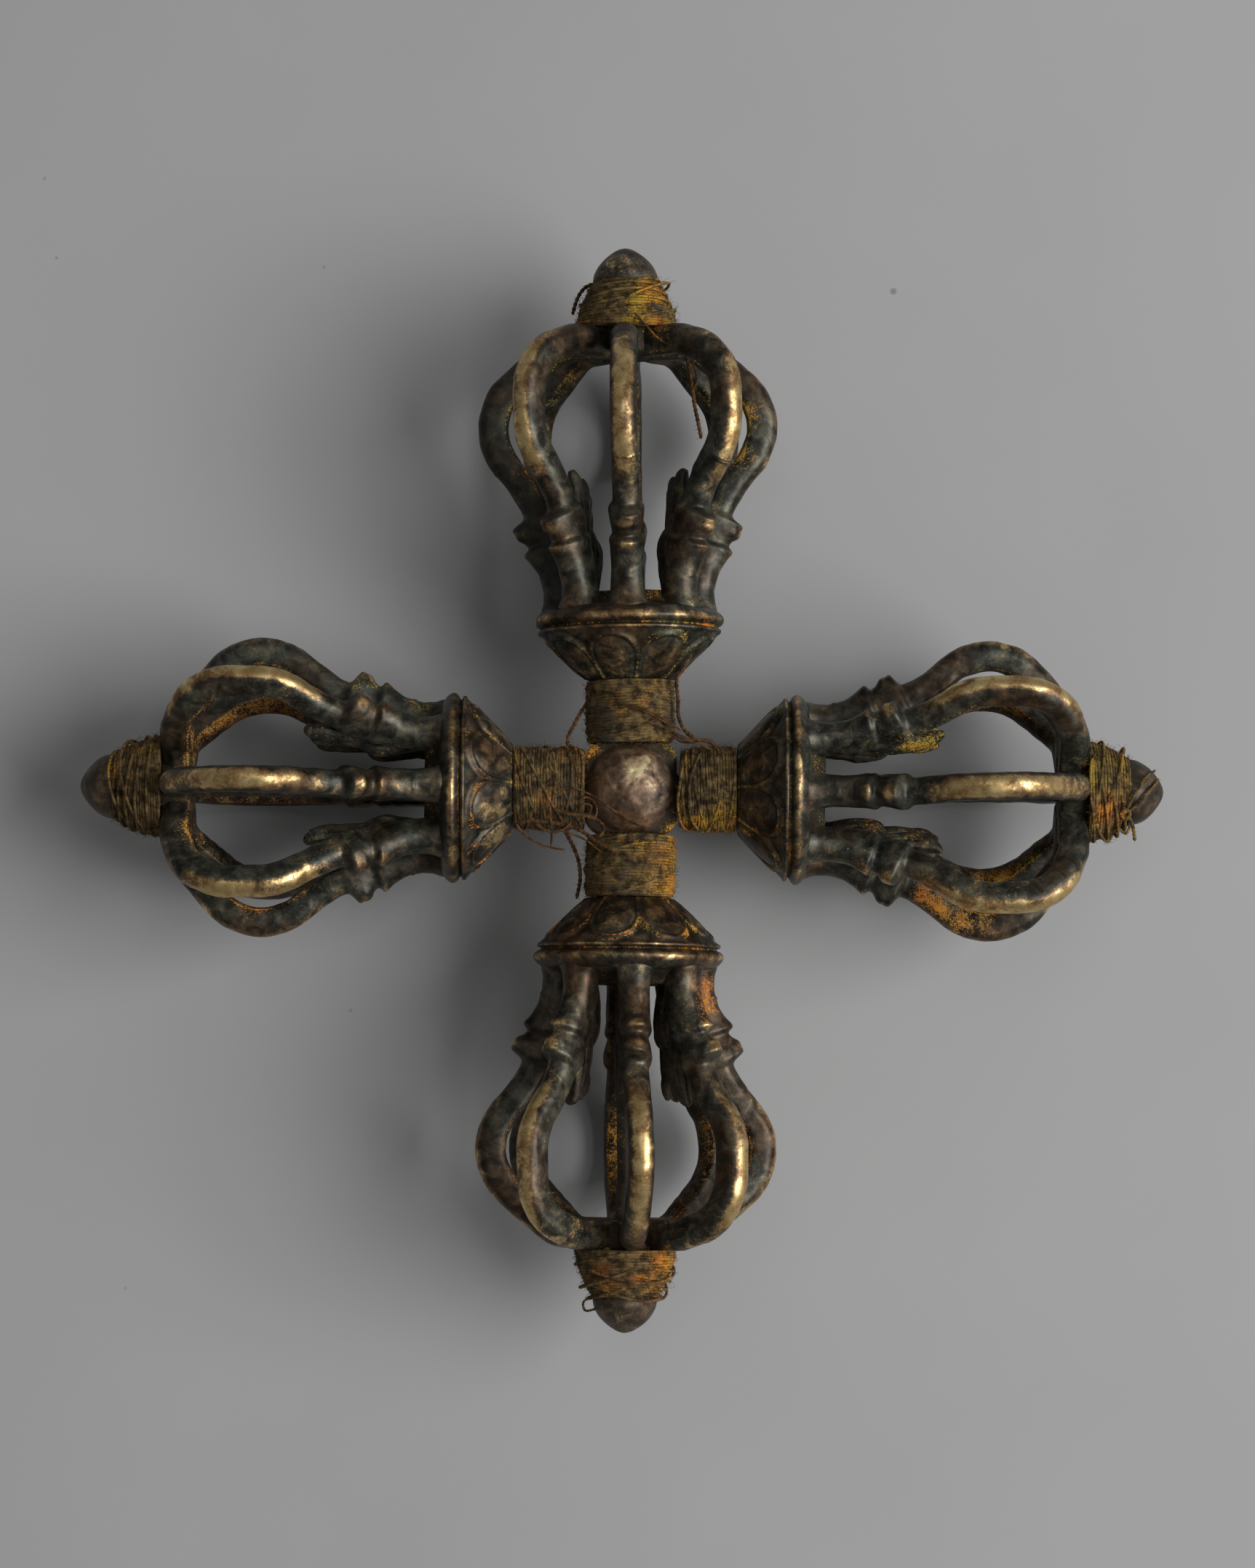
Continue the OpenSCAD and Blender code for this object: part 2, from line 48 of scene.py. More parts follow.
# Arms of the cross, in degrees and millimetres
heads = {
    "east": {"heading": -0.4, "neck": 15.6, "turn": 4, "petalTurn": 18.5, "dome": 0.9, "drop": 0},
    "north": {"heading": 90.6, "neck": 16.6, "turn": -1.2, "petalTurn": -13, "dome": 0, "drop": 0.6},
    "west": {"heading": 179.7, "neck": 17.4, "turn": -1, "petalTurn": -17, "dome": 0, "drop": 0},
    "south": {"heading": 269.3, "neck": 16.1, "turn": -4.5, "petalTurn": 18, "dome": 0, "drop": 0},
}
prongCount = 8
hubLow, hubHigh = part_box("hub")
restHeight = (hubLow.z + hubHigh.z) / 2 / mm
hubPlace = Matrix.Translation((0, 0, restHeight))
# first seed of each kind of piece, from which its pieces count up
seeds = {"prong": 100, "seat": 200, "seatWear": 210, "finial": 300, "centreProng": 320, "neck": 400,
         "tip": 420, "neckDust": 440, "tipDust": 460, "neckFuzz": 500, "tipFuzz": 520, "strandFuzz": 540}


def rotation(degrees, axis):
    return Matrix.Rotation(math.radians(degrees), 4, axis)


def armTurn(head):
    return rotation(heads[head]["heading"], "Z") @ rotation(90, "Y")


def armMatrix(head):
    return hubPlace @ armTurn(head)


def headMatrix(head):
    along = Matrix.Translation((0, 0, heads[head]["neck"]))
    return armMatrix(head) @ along @ rotation(heads[head]["turn"], "Z")


# Small tools for shapes, all in millimetres
def smoothstep(low, high, x):
    t = np.clip((x - low) / (high - low), 0, 1)
    return t * t * (3 - 2 * t)


def bell(x, middle, width):
    return np.exp(-((x - middle) / width) ** 2)


def unit(vectors):
    return vectors / np.linalg.norm(vectors, axis=-1)[..., None]


def throughPoints(points, count):  # smooth curve through a few points
    p = np.array(points, float)
    p = np.vstack([2 * p[0] - p[1], p, 2 * p[-1] - p[-2]])
    at = np.linspace(0, len(p) - 3 - 1e-9, count)
    i = at.astype(int)
    t = (at - i)[:, None]
    a, b, c, d = p[i], p[i + 1], p[i + 2], p[i + 3]
    squared = 2 * a - 5 * b + 4 * c - d
    cubed = 3 * b - a - 3 * c + d
    return 0.5 * (2 * b + (c - a) * t + squared * t ** 2 + cubed * t ** 3)


def runAlong(line):  # distance of each point from the start of a line
    return np.concatenate([[0], np.cumsum(np.linalg.norm(np.diff(line, axis=0), axis=1))])


def profileAt(profile, places):  # value between (place, value) pairs at even places, with eased corners
    value = np.interp(places, *np.array(profile, float).T)
    value[1:-1] = (value[:-2] + 2 * value[1:-1] + value[2:]) / 4
    return value


def wobble(points, seed, wavelength):  # slow uneven swing, about -1 to 1
    rng = np.random.default_rng(seed)
    total = np.zeros(len(points))
    for _ in range(7):
        way = rng.normal(size=3)
        way *= 2 * math.pi / (wavelength * rng.uniform(0.7, 1.5) * np.linalg.norm(way))
        total += np.sin(points @ way + rng.uniform(0, 2 * math.pi))
    return total / 3.2


def roundTurns(count):
    return np.linspace(0, 2 * math.pi, count, endpoint=False)


def spun(radius, height, around):  # rings about the Z axis, from a column or a grid of radii and heights
    turns = roundTurns(around)
    height = np.broadcast_to(height, (len(radius), around))
    return np.stack([radius * np.cos(turns), radius * np.sin(turns), height], -1)


def loft(rings):  # closed skin over a stack of rings
    count, around = rings.shape[:2]
    verts = np.vstack([rings.reshape(-1, 3), rings[0].mean(0), rings[-1].mean(0)])
    index = np.arange(count * around).reshape(count, around)
    low, high = index[:-1], index[1:]
    quads = np.stack([low, np.roll(low, -1, 1), np.roll(high, -1, 1), high], -1).reshape(-1, 4)
    first, last = count * around, count * around + 1
    caps = [(first, index[0][(j + 1) % around], index[0][j]) for j in range(around)]
    caps += [(last, index[-1][j], index[-1][(j + 1) % around]) for j in range(around)]
    return verts, [tuple(q) for q in quads] + caps


def joinShells(shells):
    verts, faces, offset = [], [], 0
    for v, f in shells:
        verts.append(v)
        faces += [tuple(int(i) + offset for i in face) for face in f]
        offset += len(v)
    return np.vstack(verts), faces


def newObject(name, verts, faces):
    mesh = bpy.data.meshes.new(name)
    mesh.from_pydata(np.asarray(verts, float).tolist(), [], faces)
    mesh.update()
    obj = bpy.data.objects.new(name, mesh)
    bpy.context.scene.collection.objects.link(obj)
    return obj


def outwards(mesh):
    bm = bmesh.new()
    bm.from_mesh(mesh)
    bmesh.ops.remove_doubles(bm, verts=bm.verts, dist=1e-6)
    bmesh.ops.recalc_face_normals(bm, faces=bm.faces)
    bm.to_mesh(mesh)
    bm.free()
    mesh.update()


def bakeModifiers(obj):  # plain mesh of what the modifiers make
    depsgraph = bpy.context.evaluated_depsgraph_get()
    mesh = bpy.data.meshes.new_from_object(obj.evaluated_get(depsgraph))
    old = obj.data
    obj.modifiers.clear()
    obj.data = mesh
    bpy.data.meshes.remove(old)
    return obj


def castTogether(name, shells, voxel, keep):  # one skin over overlapping shells, as a casting has
    obj = newObject(name, *joinShells(shells))
    remesh = obj.modifiers.new("skin", "REMESH")
    remesh.mode = "VOXEL"
    remesh.voxel_size = voxel
    ease = obj.modifiers.new("ease", "SMOOTH")
    ease.factor = 0.5
    ease.iterations = 1
    thin = obj.modifiers.new("thin", "DECIMATE")
    thin.ratio = keep
    return bakeModifiers(obj)


def pointsOf(mesh, kind="co"):
    values = np.zeros(len(mesh.vertices) * 3, np.float32)
    mesh.vertices.foreach_get(kind, values)
    return values.reshape(-1, 3).astype(float)


def setPoints(mesh, points):
    mesh.vertices.foreach_set("co", np.asarray(points, np.float32).ravel())
    mesh.update()


def place(matrix, points):
    m = np.array(matrix)
    return points @ m[:3, :3].T + m[:3, 3]


# Values on the surface that the materials read: wear, grime together with painted shade, dust and its hue,
# coolness of the patina
def setLook(mesh, **looks):
    for name, values in looks.items():
        layer = mesh.attributes.get(name) or mesh.attributes.new(name, "FLOAT", "POINT")
        values = np.broadcast_to(np.clip(values, 0, 1), len(mesh.vertices))
        layer.data.foreach_set("value", values.astype(np.float32))


def lookOf(mesh, name, default):
    values = np.full(len(mesh.vertices), default, np.float32)
    if name in mesh.attributes:
        mesh.attributes[name].data.foreach_get("value", values)
    return values


def edgeEnds(mesh):
    ends = np.zeros(len(mesh.edges) * 2, int)
    mesh.edges.foreach_get("vertices", ends)
    return ends[::2], ends[1::2]


def nearMean(a, b, atA, atB, size):  # mean over each point's edges of what they carry to their two ends
    count = np.bincount(a, minlength=size) + np.bincount(b, minlength=size)
    return (np.bincount(a, atA, size) + np.bincount(b, atB, size)) / np.maximum(count, 1)


def evened(mesh, values, rounds):  # values blended with those of the neighbouring points
    a, b = edgeEnds(mesh)
    for _ in range(rounds):
        values = 0.4 * values + 0.6 * nearMean(a, b, values[b], values[a], len(values))
    return values


def hollows(mesh, rounds):  # how deep each point lies below its neighbours, up to 1, and below 0 on a ridge
    points, normals = pointsOf(mesh), pointsOf(mesh, "normal")
    a, b = edgeEnds(mesh)
    step = points[b] - points[a]
    step /= np.linalg.norm(step, axis=1)[:, None] + 1e-12
    depth = nearMean(a, b, (step * normals[a]).sum(1), -(step * normals[b]).sum(1), len(points))
    return evened(mesh, depth, rounds)


def powderAt(mesh):  # adds the thick spots of powder, and its hue over the cross
    points, normals = pointsOf(mesh) / mm, pointsOf(mesh, "normal")
    away = points[:, :2] / np.maximum(np.linalg.norm(points[:, :2], axis=1), 6)[:, None]
    dust = lookOf(mesh, "dust", 0)
    hue = powder["hue"] - 0.10 * away[:, 0] - 0.13 * away[:, 1] + lookOf(mesh, "hue", 0.5) - 0.5
    upward = smoothstep(-0.25, 0.45, normals[:, 2])
    for x, y, radius, amount, tint in powder["spots"]:
        spot = np.exp(-((points[:, 0] - x) ** 2 + (points[:, 1] - y) ** 2) / radius ** 2) * upward
        dust = dust + powder["depth"] * amount * spot
        hue = hue + (tint - hue) * np.minimum(1, 1.5 * spot)
    setLook(mesh, dust=dust, hue=hue, cool=0.55 + 0.08 * np.abs(away[:, 0]) + 0.05 * away[:, 1])


def finishPiece(obj, matrix, material, node, fuzz=None):  # from millimetres to its place in the frame
    setPoints(obj.data, place(matrix, pointsOf(obj.data)) * mm)
    powderAt(obj.data)
    for polygon in obj.data.polygons:
        polygon.use_smooth = True
    obj.data.materials.clear()
    obj.data.materials.append(material)
    if fuzz:
        addFuzz(obj, material, **fuzz)
    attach(obj, "root")
    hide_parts(node)


# Node tools: outputs are wrapped, so that sums of them read as formulas
class Value:
    def __init__(self, socket):
        self.socket = socket
        self.tree = socket.id_data

    def out(self, name):  # another output of the same node
        return Value(self.socket.node.outputs[name])

    def __add__(self, other):
        return calc("ADD", self, other)

    def __radd__(self, other):
        return calc("ADD", other, self)

    def __sub__(self, other):
        return calc("SUBTRACT", self, other)

    def __rsub__(self, other):
        return calc("SUBTRACT", other, self)

    def __mul__(self, other):
        return calc("MULTIPLY", self, other)

    def __truediv__(self, other):
        return calc("DIVIDE", self, other)


def fill(node, values):  # links or sets inputs, each by its name or number
    for name, value in values.items():
        if isinstance(value, Value):
            value.tree.links.new(value.socket, node.inputs[name])
        else:
            node.inputs[name].default_value = value


def newNode(tree, kind, values={}, out=0, **settings):
    node = tree.nodes.new(kind)
    for name, value in settings.items():
        setattr(node, name, value)
    fill(node, values)
    return Value(node.outputs[out])


def calc(operation, a, b=0.5, clamp=False):
    tree = a.tree if isinstance(a, Value) else b.tree
    return newNode(tree, "ShaderNodeMath", {0: a, 1: b}, operation=operation, use_clamp=clamp)


def grain(coords, scale, detail=4, rough=0.55, twist=0):
    return newNode(coords.tree, "ShaderNodeTexNoise", {
        "Vector": coords, "Scale": scale, "Detail": detail, "Roughness": rough, "Distortion": twist})


def stops(amount, colours):
    ramp = newNode(amount.tree, "ShaderNodeValToRGB", {0: amount})
    elements = ramp.socket.node.color_ramp.elements
    while len(elements) < len(colours):
        elements.new(1)
    for element, (position, colour) in zip(elements, colours):
        element.position = position
        element.color = (*colour, 1)
    return ramp


def blendColours(amount, a, b):
    a, b = [c if isinstance(c, Value) else (*c, 1) for c in (a, b)]
    return newNode(amount.tree, "ShaderNodeMix", {"Factor": amount, "A": a, "B": b}, out=2, data_type="RGBA")


def blendValues(amount, a, b):
    return newNode(amount.tree, "ShaderNodeMix", {"Factor": amount, "A": a, "B": b})


def surfaceValue(tree, name):
    return newNode(tree, "ShaderNodeAttribute", out="Fac", attribute_name=name)


def mask(parts, floor, sharpness):  # weighted sum, cut at a floor and made crisp
    total = parts[0][0] * parts[0][1]
    for value, weight in parts[1:]:
        total = total + (value - 0.5) * weight
    return calc("MULTIPLY", total - floor, sharpness, clamp=True)


def bumped(height, strength, depth):
    return newNode(height.tree, "ShaderNodeBump", {"Strength": strength, "Distance": depth, "Height": height})


def newMaterial(name):
    material = bpy.data.materials.new(name)
    material.use_nodes = True
    tree = material.node_tree
    return material, tree.nodes["Principled BSDF"], newNode(tree, "ShaderNodeTexCoord", out="Object")


# Materials
powder = {
    "colours": [(0.10, (0.20, 0.155, 0.035)), (0.30, (0.46, 0.29, 0.022)), (0.48, (0.58, 0.26, 0.014)),
                (0.70, (0.60, 0.18, 0.010)), (0.96, (0.24, 0.035, 0.015))],
    "hue": 0.44, "drift": 1.0, "scale": 230, "depth": 0.85,
    # thick spots seen from above: x, y, radius, amount, and hue from yellow 0 to red 1
    "spots": [
        (42.6, -15.4, 2, 1.0, 0.62), (45.2, -17.7, 1.8, 1.0, 0.64), (48.3, -19.5, 2.2, 1.0, 0.64),
        (52.2, -20.0, 2.2, 0.8, 0.6), (40, 5.5, 2.5, 0.6, 0.28), (43.5, 6.3, 2, 0.75, 0.3),
        (45.5, 8, 1.5, 0.6, 0.25), (48.5, 10, 1.8, 0.6, 0.25), (51, 11.3, 1.5, 0.4, 0.25),
        (30, -4.6, 1.5, 0.4, 0.5), (35, -5.3, 2, 0.4, 0.5), (42, -7, 2, 0.4, 0.5), (55, -13.2, 4, 0.35, 0.45),
        (22.9, -10, 2, 0.4, 0.55), (66.5, 3, 4, 0.35, 0.2), (69.5, -3.5, 2.5, 0.3, 0.8),
        (12.3, -6.8, 1.6, 0.3, 0.42), (15.2, -6.6, 1.5, 0.45, 0.5), (17.2, -6.8, 1.3, 0.7, 0.52),
        (57, 12.5, 4, 0.3, 0.5), (11, -28.3, 1.6, 0.6, 0.65), (11, -30.8, 2.2, 0.8, 0.65),
        (11.4, -33.3, 1.6, 0.6, 0.62), (-2, -51.8, 5, 0.35, 0.5), (-6.9, -64.2, 2.5, 0.45, 0.4),
        (7.1, -64.2, 2.5, 0.4, 0.6), (9.1, -21.3, 1.3, 0.4, 0.55), (19, -51, 3, 0.3, 0.6),
        (-16, -60, 3, 0.3, 0.45), (6.8, -9.2, 1.7, 0.5, 0.5), (6.7, -13.4, 1.7, 0.45, 0.5),
        (3.4, -15.2, 1.8, 0.5, 0.5), (6.6, -6.6, 1.6, 0.8, 0.5), (2.6, -12.4, 1.2, 0.35, 0.45),
        (6, -70, 2.5, 0.35, 0.55), (-2, -70.5, 2.5, 0.3, 0.95), (1.5, 72, 2.2, 0.45, 0.22),
        (4, 73.5, 2, 0.35, 0.55), (-75, 3.5, 3, 0.35, 0.45), (4.4, 66.8, 2, 0.75, 0.55),
        (-10.9, 63.5, 1.5, 0.5, 0.3), (-18.3, 57, 2, 0.35, 0.3), (-15.6, 46.1, 3, 0.4, 0.55),
        (17.7, 55.9, 2.5, 0.65, 0.42), (16.2, 48.8, 2.5, 0.6, 0.5), (1.5, 48, 4, 0.25, 0.5),
        (2, 24.5, 1, 0.6, 0.6), (11, 24.1, 1.2, 0.65, 0.6), (10.3, 28, 1.3, 0.5, 0.55),
        (3.7, 28.9, 1, 0.5, 0.5), (-6.8, 6.8, 1.6, 0.5, 0.3), (-60.6, 10, 3, 0.35, 0.6),
        (-53.8, 11.1, 3, 0.35, 0.58), (-49.5, 10, 2.5, 0.3, 0.55), (-64.6, 7.4, 2, 0.4, 0.6),
        (-65.7, 4.4, 1.5, 0.7, 0.45), (-40.4, 15.1, 1.5, 0.5, 0.4), (-37.6, 15.5, 1.5, 0.45, 0.25),
        (-29.9, 11.7, 2, 0.5, 0.2), (-55.5, -17.2, 3, 0.45, 0.6), (-47.8, -14.3, 2.5, 0.4, 0.6),
        (-61.4, -1.9, 3, 0.35, 0.5), (-64.4, -6.6, 2, 0.4, 0.5), (-24.2, 7.4, 1.2, 0.5, 0.35),
        (-17.6, 3.6, 1.4, 0.5, 0.4), (-2.5, 13.6, 0.9, 0.5, 0.62), (-1.6, 11.2, 0.8, 0.5, 0.62),
        (5.4, 13.4, 0.9, 0.55, 0.62), (2.0, 12.2, 0.8, 0.4, 0.55), (2.6, 14.2, 0.8, 0.45, 0.5),
        (-6.2, 5.6, 1.5, 0.6, 0.42), (-7.8, 4.4, 1.2, 0.5, 0.5),
    ],
}
bronzeLooks = {
    "cast": {
        "brown": [(0.35, (0.017, 0.012, 0.007)), (0.48, (0.046, 0.029, 0.015)), (0.58, (0.094, 0.051, 0.024)),
                  (0.69, (0.165, 0.086, 0.038))],
        "cool": [(0.35, (0.011, 0.013, 0.011)), (0.48, (0.034, 0.037, 0.029)), (0.60, (0.076, 0.079, 0.058)),
                 (0.71, (0.130, 0.121, 0.082))],
        "rubbed": (0.228, 0.128, 0.050), "bright": (0.44, 0.288, 0.108), "pale": (0.68, 0.515, 0.25),
        "grime": (0.011, 0.012, 0.008),
        "rough": 0.44, "brightRough": 0.37, "metal": 0.62, "brightMetal": 0.95,
    },
    "hub": {
        "brown": [(0.35, (0.030, 0.016, 0.008)), (0.46, (0.092, 0.047, 0.023)), (0.57, (0.190, 0.103, 0.053)),
                  (0.69, (0.330, 0.205, 0.122))],
        "cool": [(0.35, (0.022, 0.016, 0.010)), (0.48, (0.065, 0.042, 0.025)), (0.60, (0.135, 0.090, 0.053)),
                 (0.71, (0.230, 0.160, 0.100))],
        "rubbed": (0.27, 0.175, 0.105), "bright": (0.42, 0.33, 0.17), "pale": (0.56, 0.46, 0.27),
        "grime": (0.018, 0.016, 0.011),
        "rough": 0.56, "brightRough": 0.56, "metal": 0.28, "brightMetal": 0.4,
    },
    "dome": {
        "brown": [(0.35, (0.019, 0.013, 0.008)), (0.48, (0.050, 0.031, 0.018)), (0.59, (0.088, 0.053, 0.029)),
                  (0.70, (0.155, 0.094, 0.052))],
        "cool": [(0.35, (0.015, 0.014, 0.010)), (0.48, (0.038, 0.034, 0.023)), (0.60, (0.066, 0.056, 0.036)),
                 (0.71, (0.105, 0.086, 0.054))],
        "rubbed": (0.19, 0.120, 0.062), "bright": (0.40, 0.29, 0.14), "pale": (0.55, 0.43, 0.24),
        "grime": (0.013, 0.012, 0.008),
        "rough": 0.48, "brightRough": 0.42, "metal": 0.55, "brightMetal": 0.9,
    },
    "dark": {
        "brown": [(0.32, (0.014, 0.011, 0.008)), (0.48, (0.030, 0.022, 0.014)), (0.60, (0.046, 0.032, 0.020)),
                  (0.72, (0.075, 0.047, 0.027))],
        "cool": [(0.32, (0.012, 0.013, 0.011)), (0.48, (0.026, 0.028, 0.022)), (0.62, (0.040, 0.042, 0.032)),
                 (0.74, (0.055, 0.054, 0.039))],
        "rubbed": (0.15, 0.10, 0.05), "bright": (0.40, 0.30, 0.14), "pale": (0.5, 0.40, 0.22),
        "grime": (0.010, 0.010, 0.007),
        "rough": 0.5, "brightRough": 0.4, "metal": 0.55, "brightMetal": 0.9,
    },
}
threadLooks = {
    "binding": {"dark": (0.016, 0.011, 0.006), "mid": (0.082, 0.054, 0.022), "light": (0.220, 0.146, 0.058),
                "cool": (0.040, 0.036, 0.032)},
    "loose": {"dark": (0.016, 0.007, 0.003), "mid": (0.066, 0.030, 0.011), "light": (0.165, 0.082, 0.030),
              "cool": (0.044, 0.020, 0.010)},
}


def powderColour(coords):
    drift = grain(coords, powder["scale"]) - 0.5
    return stops(surfaceValue(coords.tree, "hue") + drift * powder["drift"], powder["colours"])


def bronze(name, look):
    material, shader, coords = newMaterial(name)
    broad = grain(coords, 100, 5)
    patchy = grain(coords, 430, 6, 0.62, 0.4)
    fine = grain(coords, 2300, 4, 0.6)
    gritty = grain(coords, 4800, 3, 0.7)
    wear, grime, dust, cooler = [surfaceValue(coords.tree, n) for n in ("wear", "grime", "dust", "cool")]

    cool = mask([(broad, 1.0), (patchy, 0.4), (fine, 0.3), (cooler, 0.6)], 0.43, 5)
    rubbed = mask([(wear, 1.2), (patchy, 1.8), (fine, 0.8), (broad, 0.6)], 0.26, 2.0)
    bright = mask([(wear, 1.2), (patchy, 2.6), (fine, 1.4), (broad, 1.6)], 0.66, 2.2)
    flecked = mask([(fine, 1.0), (broad, 0.4), (patchy, 0.3)], 0.60, 8)
    pitted = mask([(fine, 1.0), (gritty, 0.5)], 0.61, 9)
    # darkening towards the grime colour: dirt in hollows, and painted shade on the prongs that lie in shade
    # and on the ball's sides
    dirtAndShade = mask([(grime, 1.2), (patchy, 0.5), (fine, 0.3)], 0.25, 2.0)
    powdered = mask([(dust, 0.85), (patchy, 1.0), (gritty, 2.4), (fine, 1.2), (broad, 0.5)], 0.55, 3.2)

    colour = blendColours(cool, stops(patchy, look["brown"]), stops(patchy, look["cool"]))
    colour = blendColours(rubbed * 0.85, colour, look["rubbed"])
    colour = blendColours(flecked * 0.55, colour, look["rubbed"])
    colour = blendColours(bright, colour, stops(patchy, [(0.38, look["bright"]), (0.64, look["pale"])]))
    colour = blendColours(pitted * 0.7, colour, look["brown"][0][1])
    colour = blendColours(dirtAndShade * 0.85, colour, look["grime"])
    colour = blendColours(powdered * 0.93, colour, powderColour(coords))

    metal = blendValues(bright, look["metal"], look["brightMetal"])
    rough = blendValues(bright, look["rough"] - 0.13 + patchy * 0.26, look["brightRough"])
    rough = blendValues(dirtAndShade, rough, 0.62)
    height = patchy * 0.7 + fine * 0.35 - pitted * 0.25 + gritty * powdered * 0.6
    fill(shader, {
        "Base Color": colour, "Metallic": metal * (1 - dirtAndShade * 0.7) * (1 - powdered),
        "Specular IOR Level": blendValues(dirtAndShade, 0.5, 0.12), "Roughness": blendValues(powdered, rough, 0.95),
        "Normal": bumped(height, 0.4, 0.14 * mm)})
    return material


def thread(name, look):
    material, shader, coords = newMaterial(name)
    broad = grain(coords, 150)
    patchy = grain(coords, 760, 5, 0.65)
    fibre = grain(coords, 4200, 3, 0.6, 0.6)
    dust = surfaceValue(coords.tree, "dust")
    powdered = mask([(dust, 1.0), (patchy, 0.9), (fibre, 2.2), (broad, 0.5)], 0.50, 2.0)
    colour = stops(patchy, [(0.37, look["dark"]), (0.48, look["mid"]), (0.63, look["light"])])
    colour = blendColours(mask([(broad, 1.0), (patchy, 0.3)], 0.57, 6.0), colour, look["cool"])
    colour = blendColours(fibre * 0.6, colour, look["dark"])
    colour = blendColours(powdered * 0.78, colour, powderColour(coords))
    fill(shader, {
        "Base Color": colour, "Roughness": 0.92, "Specular IOR Level": 0.18, "Sheen Weight": 0.12,
        "Sheen Tint": (0.55, 0.36, 0.15, 1), "Sheen Roughness": 0.6,
        "Normal": bumped(fibre + powdered * 0.3, 0.6, 0.15 * mm)})
    return material


castBronze = bronze("castBronze", bronzeLooks["cast"])
domeBronze = bronze("domeBronze", bronzeLooks["dome"])
hubBronze = bronze("hubBronze", bronzeLooks["hub"])
darkBronze = bronze("darkBronze", bronzeLooks["dark"])
boundThread = thread("boundThread", threadLooks["binding"])
looseThread = thread("looseThread", threadLooks["loose"])
print("materials made")


# Curved prongs with their makara heads; places are distance from the arm and height along it
prongs = {
    "feetRadius": 10.25, "faceHeight": 10.5, "tipHeight": 49.5, "bowHeight": 36.9, "bowRadius": 20.27,
    "bowBend": 8.8, "rise": 41, "crownRadius": 5.0, "tipPast": 1.5, "root": 0.8, "spacing": 0.25,
    # upper part of the bow: straight run, bend, how far it falls inwards, and the bend into the crown
    "plain": {"run": 0, "bend": 8.8, "fall": 50, "tipBend": 6},
    "squarer": {"run": 3.4, "bend": 8.4, "fall": 72, "tipBend": 5}, "squarerOnes": (2, 8),
    "leans": {"east": -1.1, "north": -0.1, "west": 0.4, "south": -0.6},  # of the uppermost prong's bow
    "leanFrom": 14, "leanRun": 42,
    # prongs that stand turned from their even place, in degrees
    "swings": {"east": {2: 5, 8: -2.6}, "north": {2: 3.6}, "west": {2: 3.6, 8: -1.5},
               "south": {2: 3.4, 8: -1.4}},
    # how worn each prong is, from the uppermost round, then those that differ, and the painted shade on
    # prongs that lie in shade; the north's seventh is also given little wear so that it paints darker
    "rubbed": (1.0, 0.95, 0.45, 0.3, 0.3, 0.3, 0.45, 0.95),
    "worn": {"east": {1: 1.15, 2: 1.1, 8: 1.25}, "north": {1: 0.8, 7: 0.15, 8: 1.25},
             "west": {2: 1.15, 3: 0.3, 8: 1.05}, "south": {2: 1.2, 3: 0.6, 7: 0.85}},
    "soot": {"east": {}, "north": {7: 0.4}, "west": {3: 0.3}, "south": {3: 0.2}},
    "voxel": 0.21, "keep": 0.4,
    # places along the prong: end of the head, where wear on the bow and dust under it begin and end, and the
    # worn ridges with their widths; the tongue lies below its end and further in than its reach
    "headEnd": 16, "wearFrom": (16, 25), "wearTo": (36, 49), "dustFrom": (15, 24), "dustTo": (50, 58),
    "ridges": ((9.3, 0.6), (13.0, 1.0)), "tongueEnd": 22, "tongueReach": -2.75,
    # (place along the prong, reach) of the outer side, the inner side and the half width
    "outer": [(-0.8, 2.8), (0, 2.75), (0.5, 2.55), (1.2, 2.4), (3, 2.25), (5.8, 2.6), (8.0, 3.4), (9.2, 4.0),
              (9.6, 4.1), (9.85, 3.6), (10.1, 3.05), (10.6, 3.1), (11.8, 3.75), (13.2, 4.2), (14.1, 4.3),
              (14.35, 4.05), (14.7, 2.6), (15.0, 1.95), (16.2, 1.83), (18, 1.83), (24, 1.92), (40, 1.95),
              (54, 1.85), (62, 1.8)],
    "inner": [(0, 2.5), (1.2, 2.3), (15, 2.1), (20, 2.2), (26, 2.5), (46, 2.6), (56, 2.5), (62, 2.4)],
    "half": [(-0.8, 3.2), (0, 3.05), (0.6, 2.75), (1.5, 2.5), (3, 2.35), (5, 2.3), (8, 2.4), (9.4, 2.6),
             (9.7, 2.5), (10.0, 2.05), (10.6, 2.08), (12.5, 2.45), (14.0, 2.6), (14.35, 2.45), (14.75, 2.0),
             (15.4, 1.93), (22, 1.93), (46, 1.9), (62, 1.85)],
}
brow = {"place": 12.6, "out": 2.0, "long": 1.6, "deep": 2.25, "wide": 2.05}  # bead over the makara's eye
tongues = [  # (distance from the arm, height along it, half depth, half width)
    [(9.6, 10.4, 1.5, 1.7), (8.9, 13.0, 1.5, 1.55), (8.3, 16.0, 1.6, 1.45), (8.0, 18.4, 1.75, 1.45),
     (8.3, 20.3, 1.55, 1.35), (9.0, 21.7, 0.9, 1.05), (9.4, 22.2, 0.35, 0.5)],
    [(11.4, 14.0, 1.6, 1.6), (10.4, 18.5, 2.0, 1.6), (9.9, 22.0, 1.8, 1.45), (9.8, 25.0, 1.65, 1.3),
     (10.1, 27.4, 1.4, 1.15), (10.8, 29.2, 1.0, 0.95), (11.6, 30.0, 0.45, 0.5)],
    [(9.7, 24.4, 0.9, 1.0), (9.0, 26.6, 0.8, 0.85), (8.9, 28.3, 0.65, 0.7), (9.3, 29.5, 0.3, 0.35)],
]


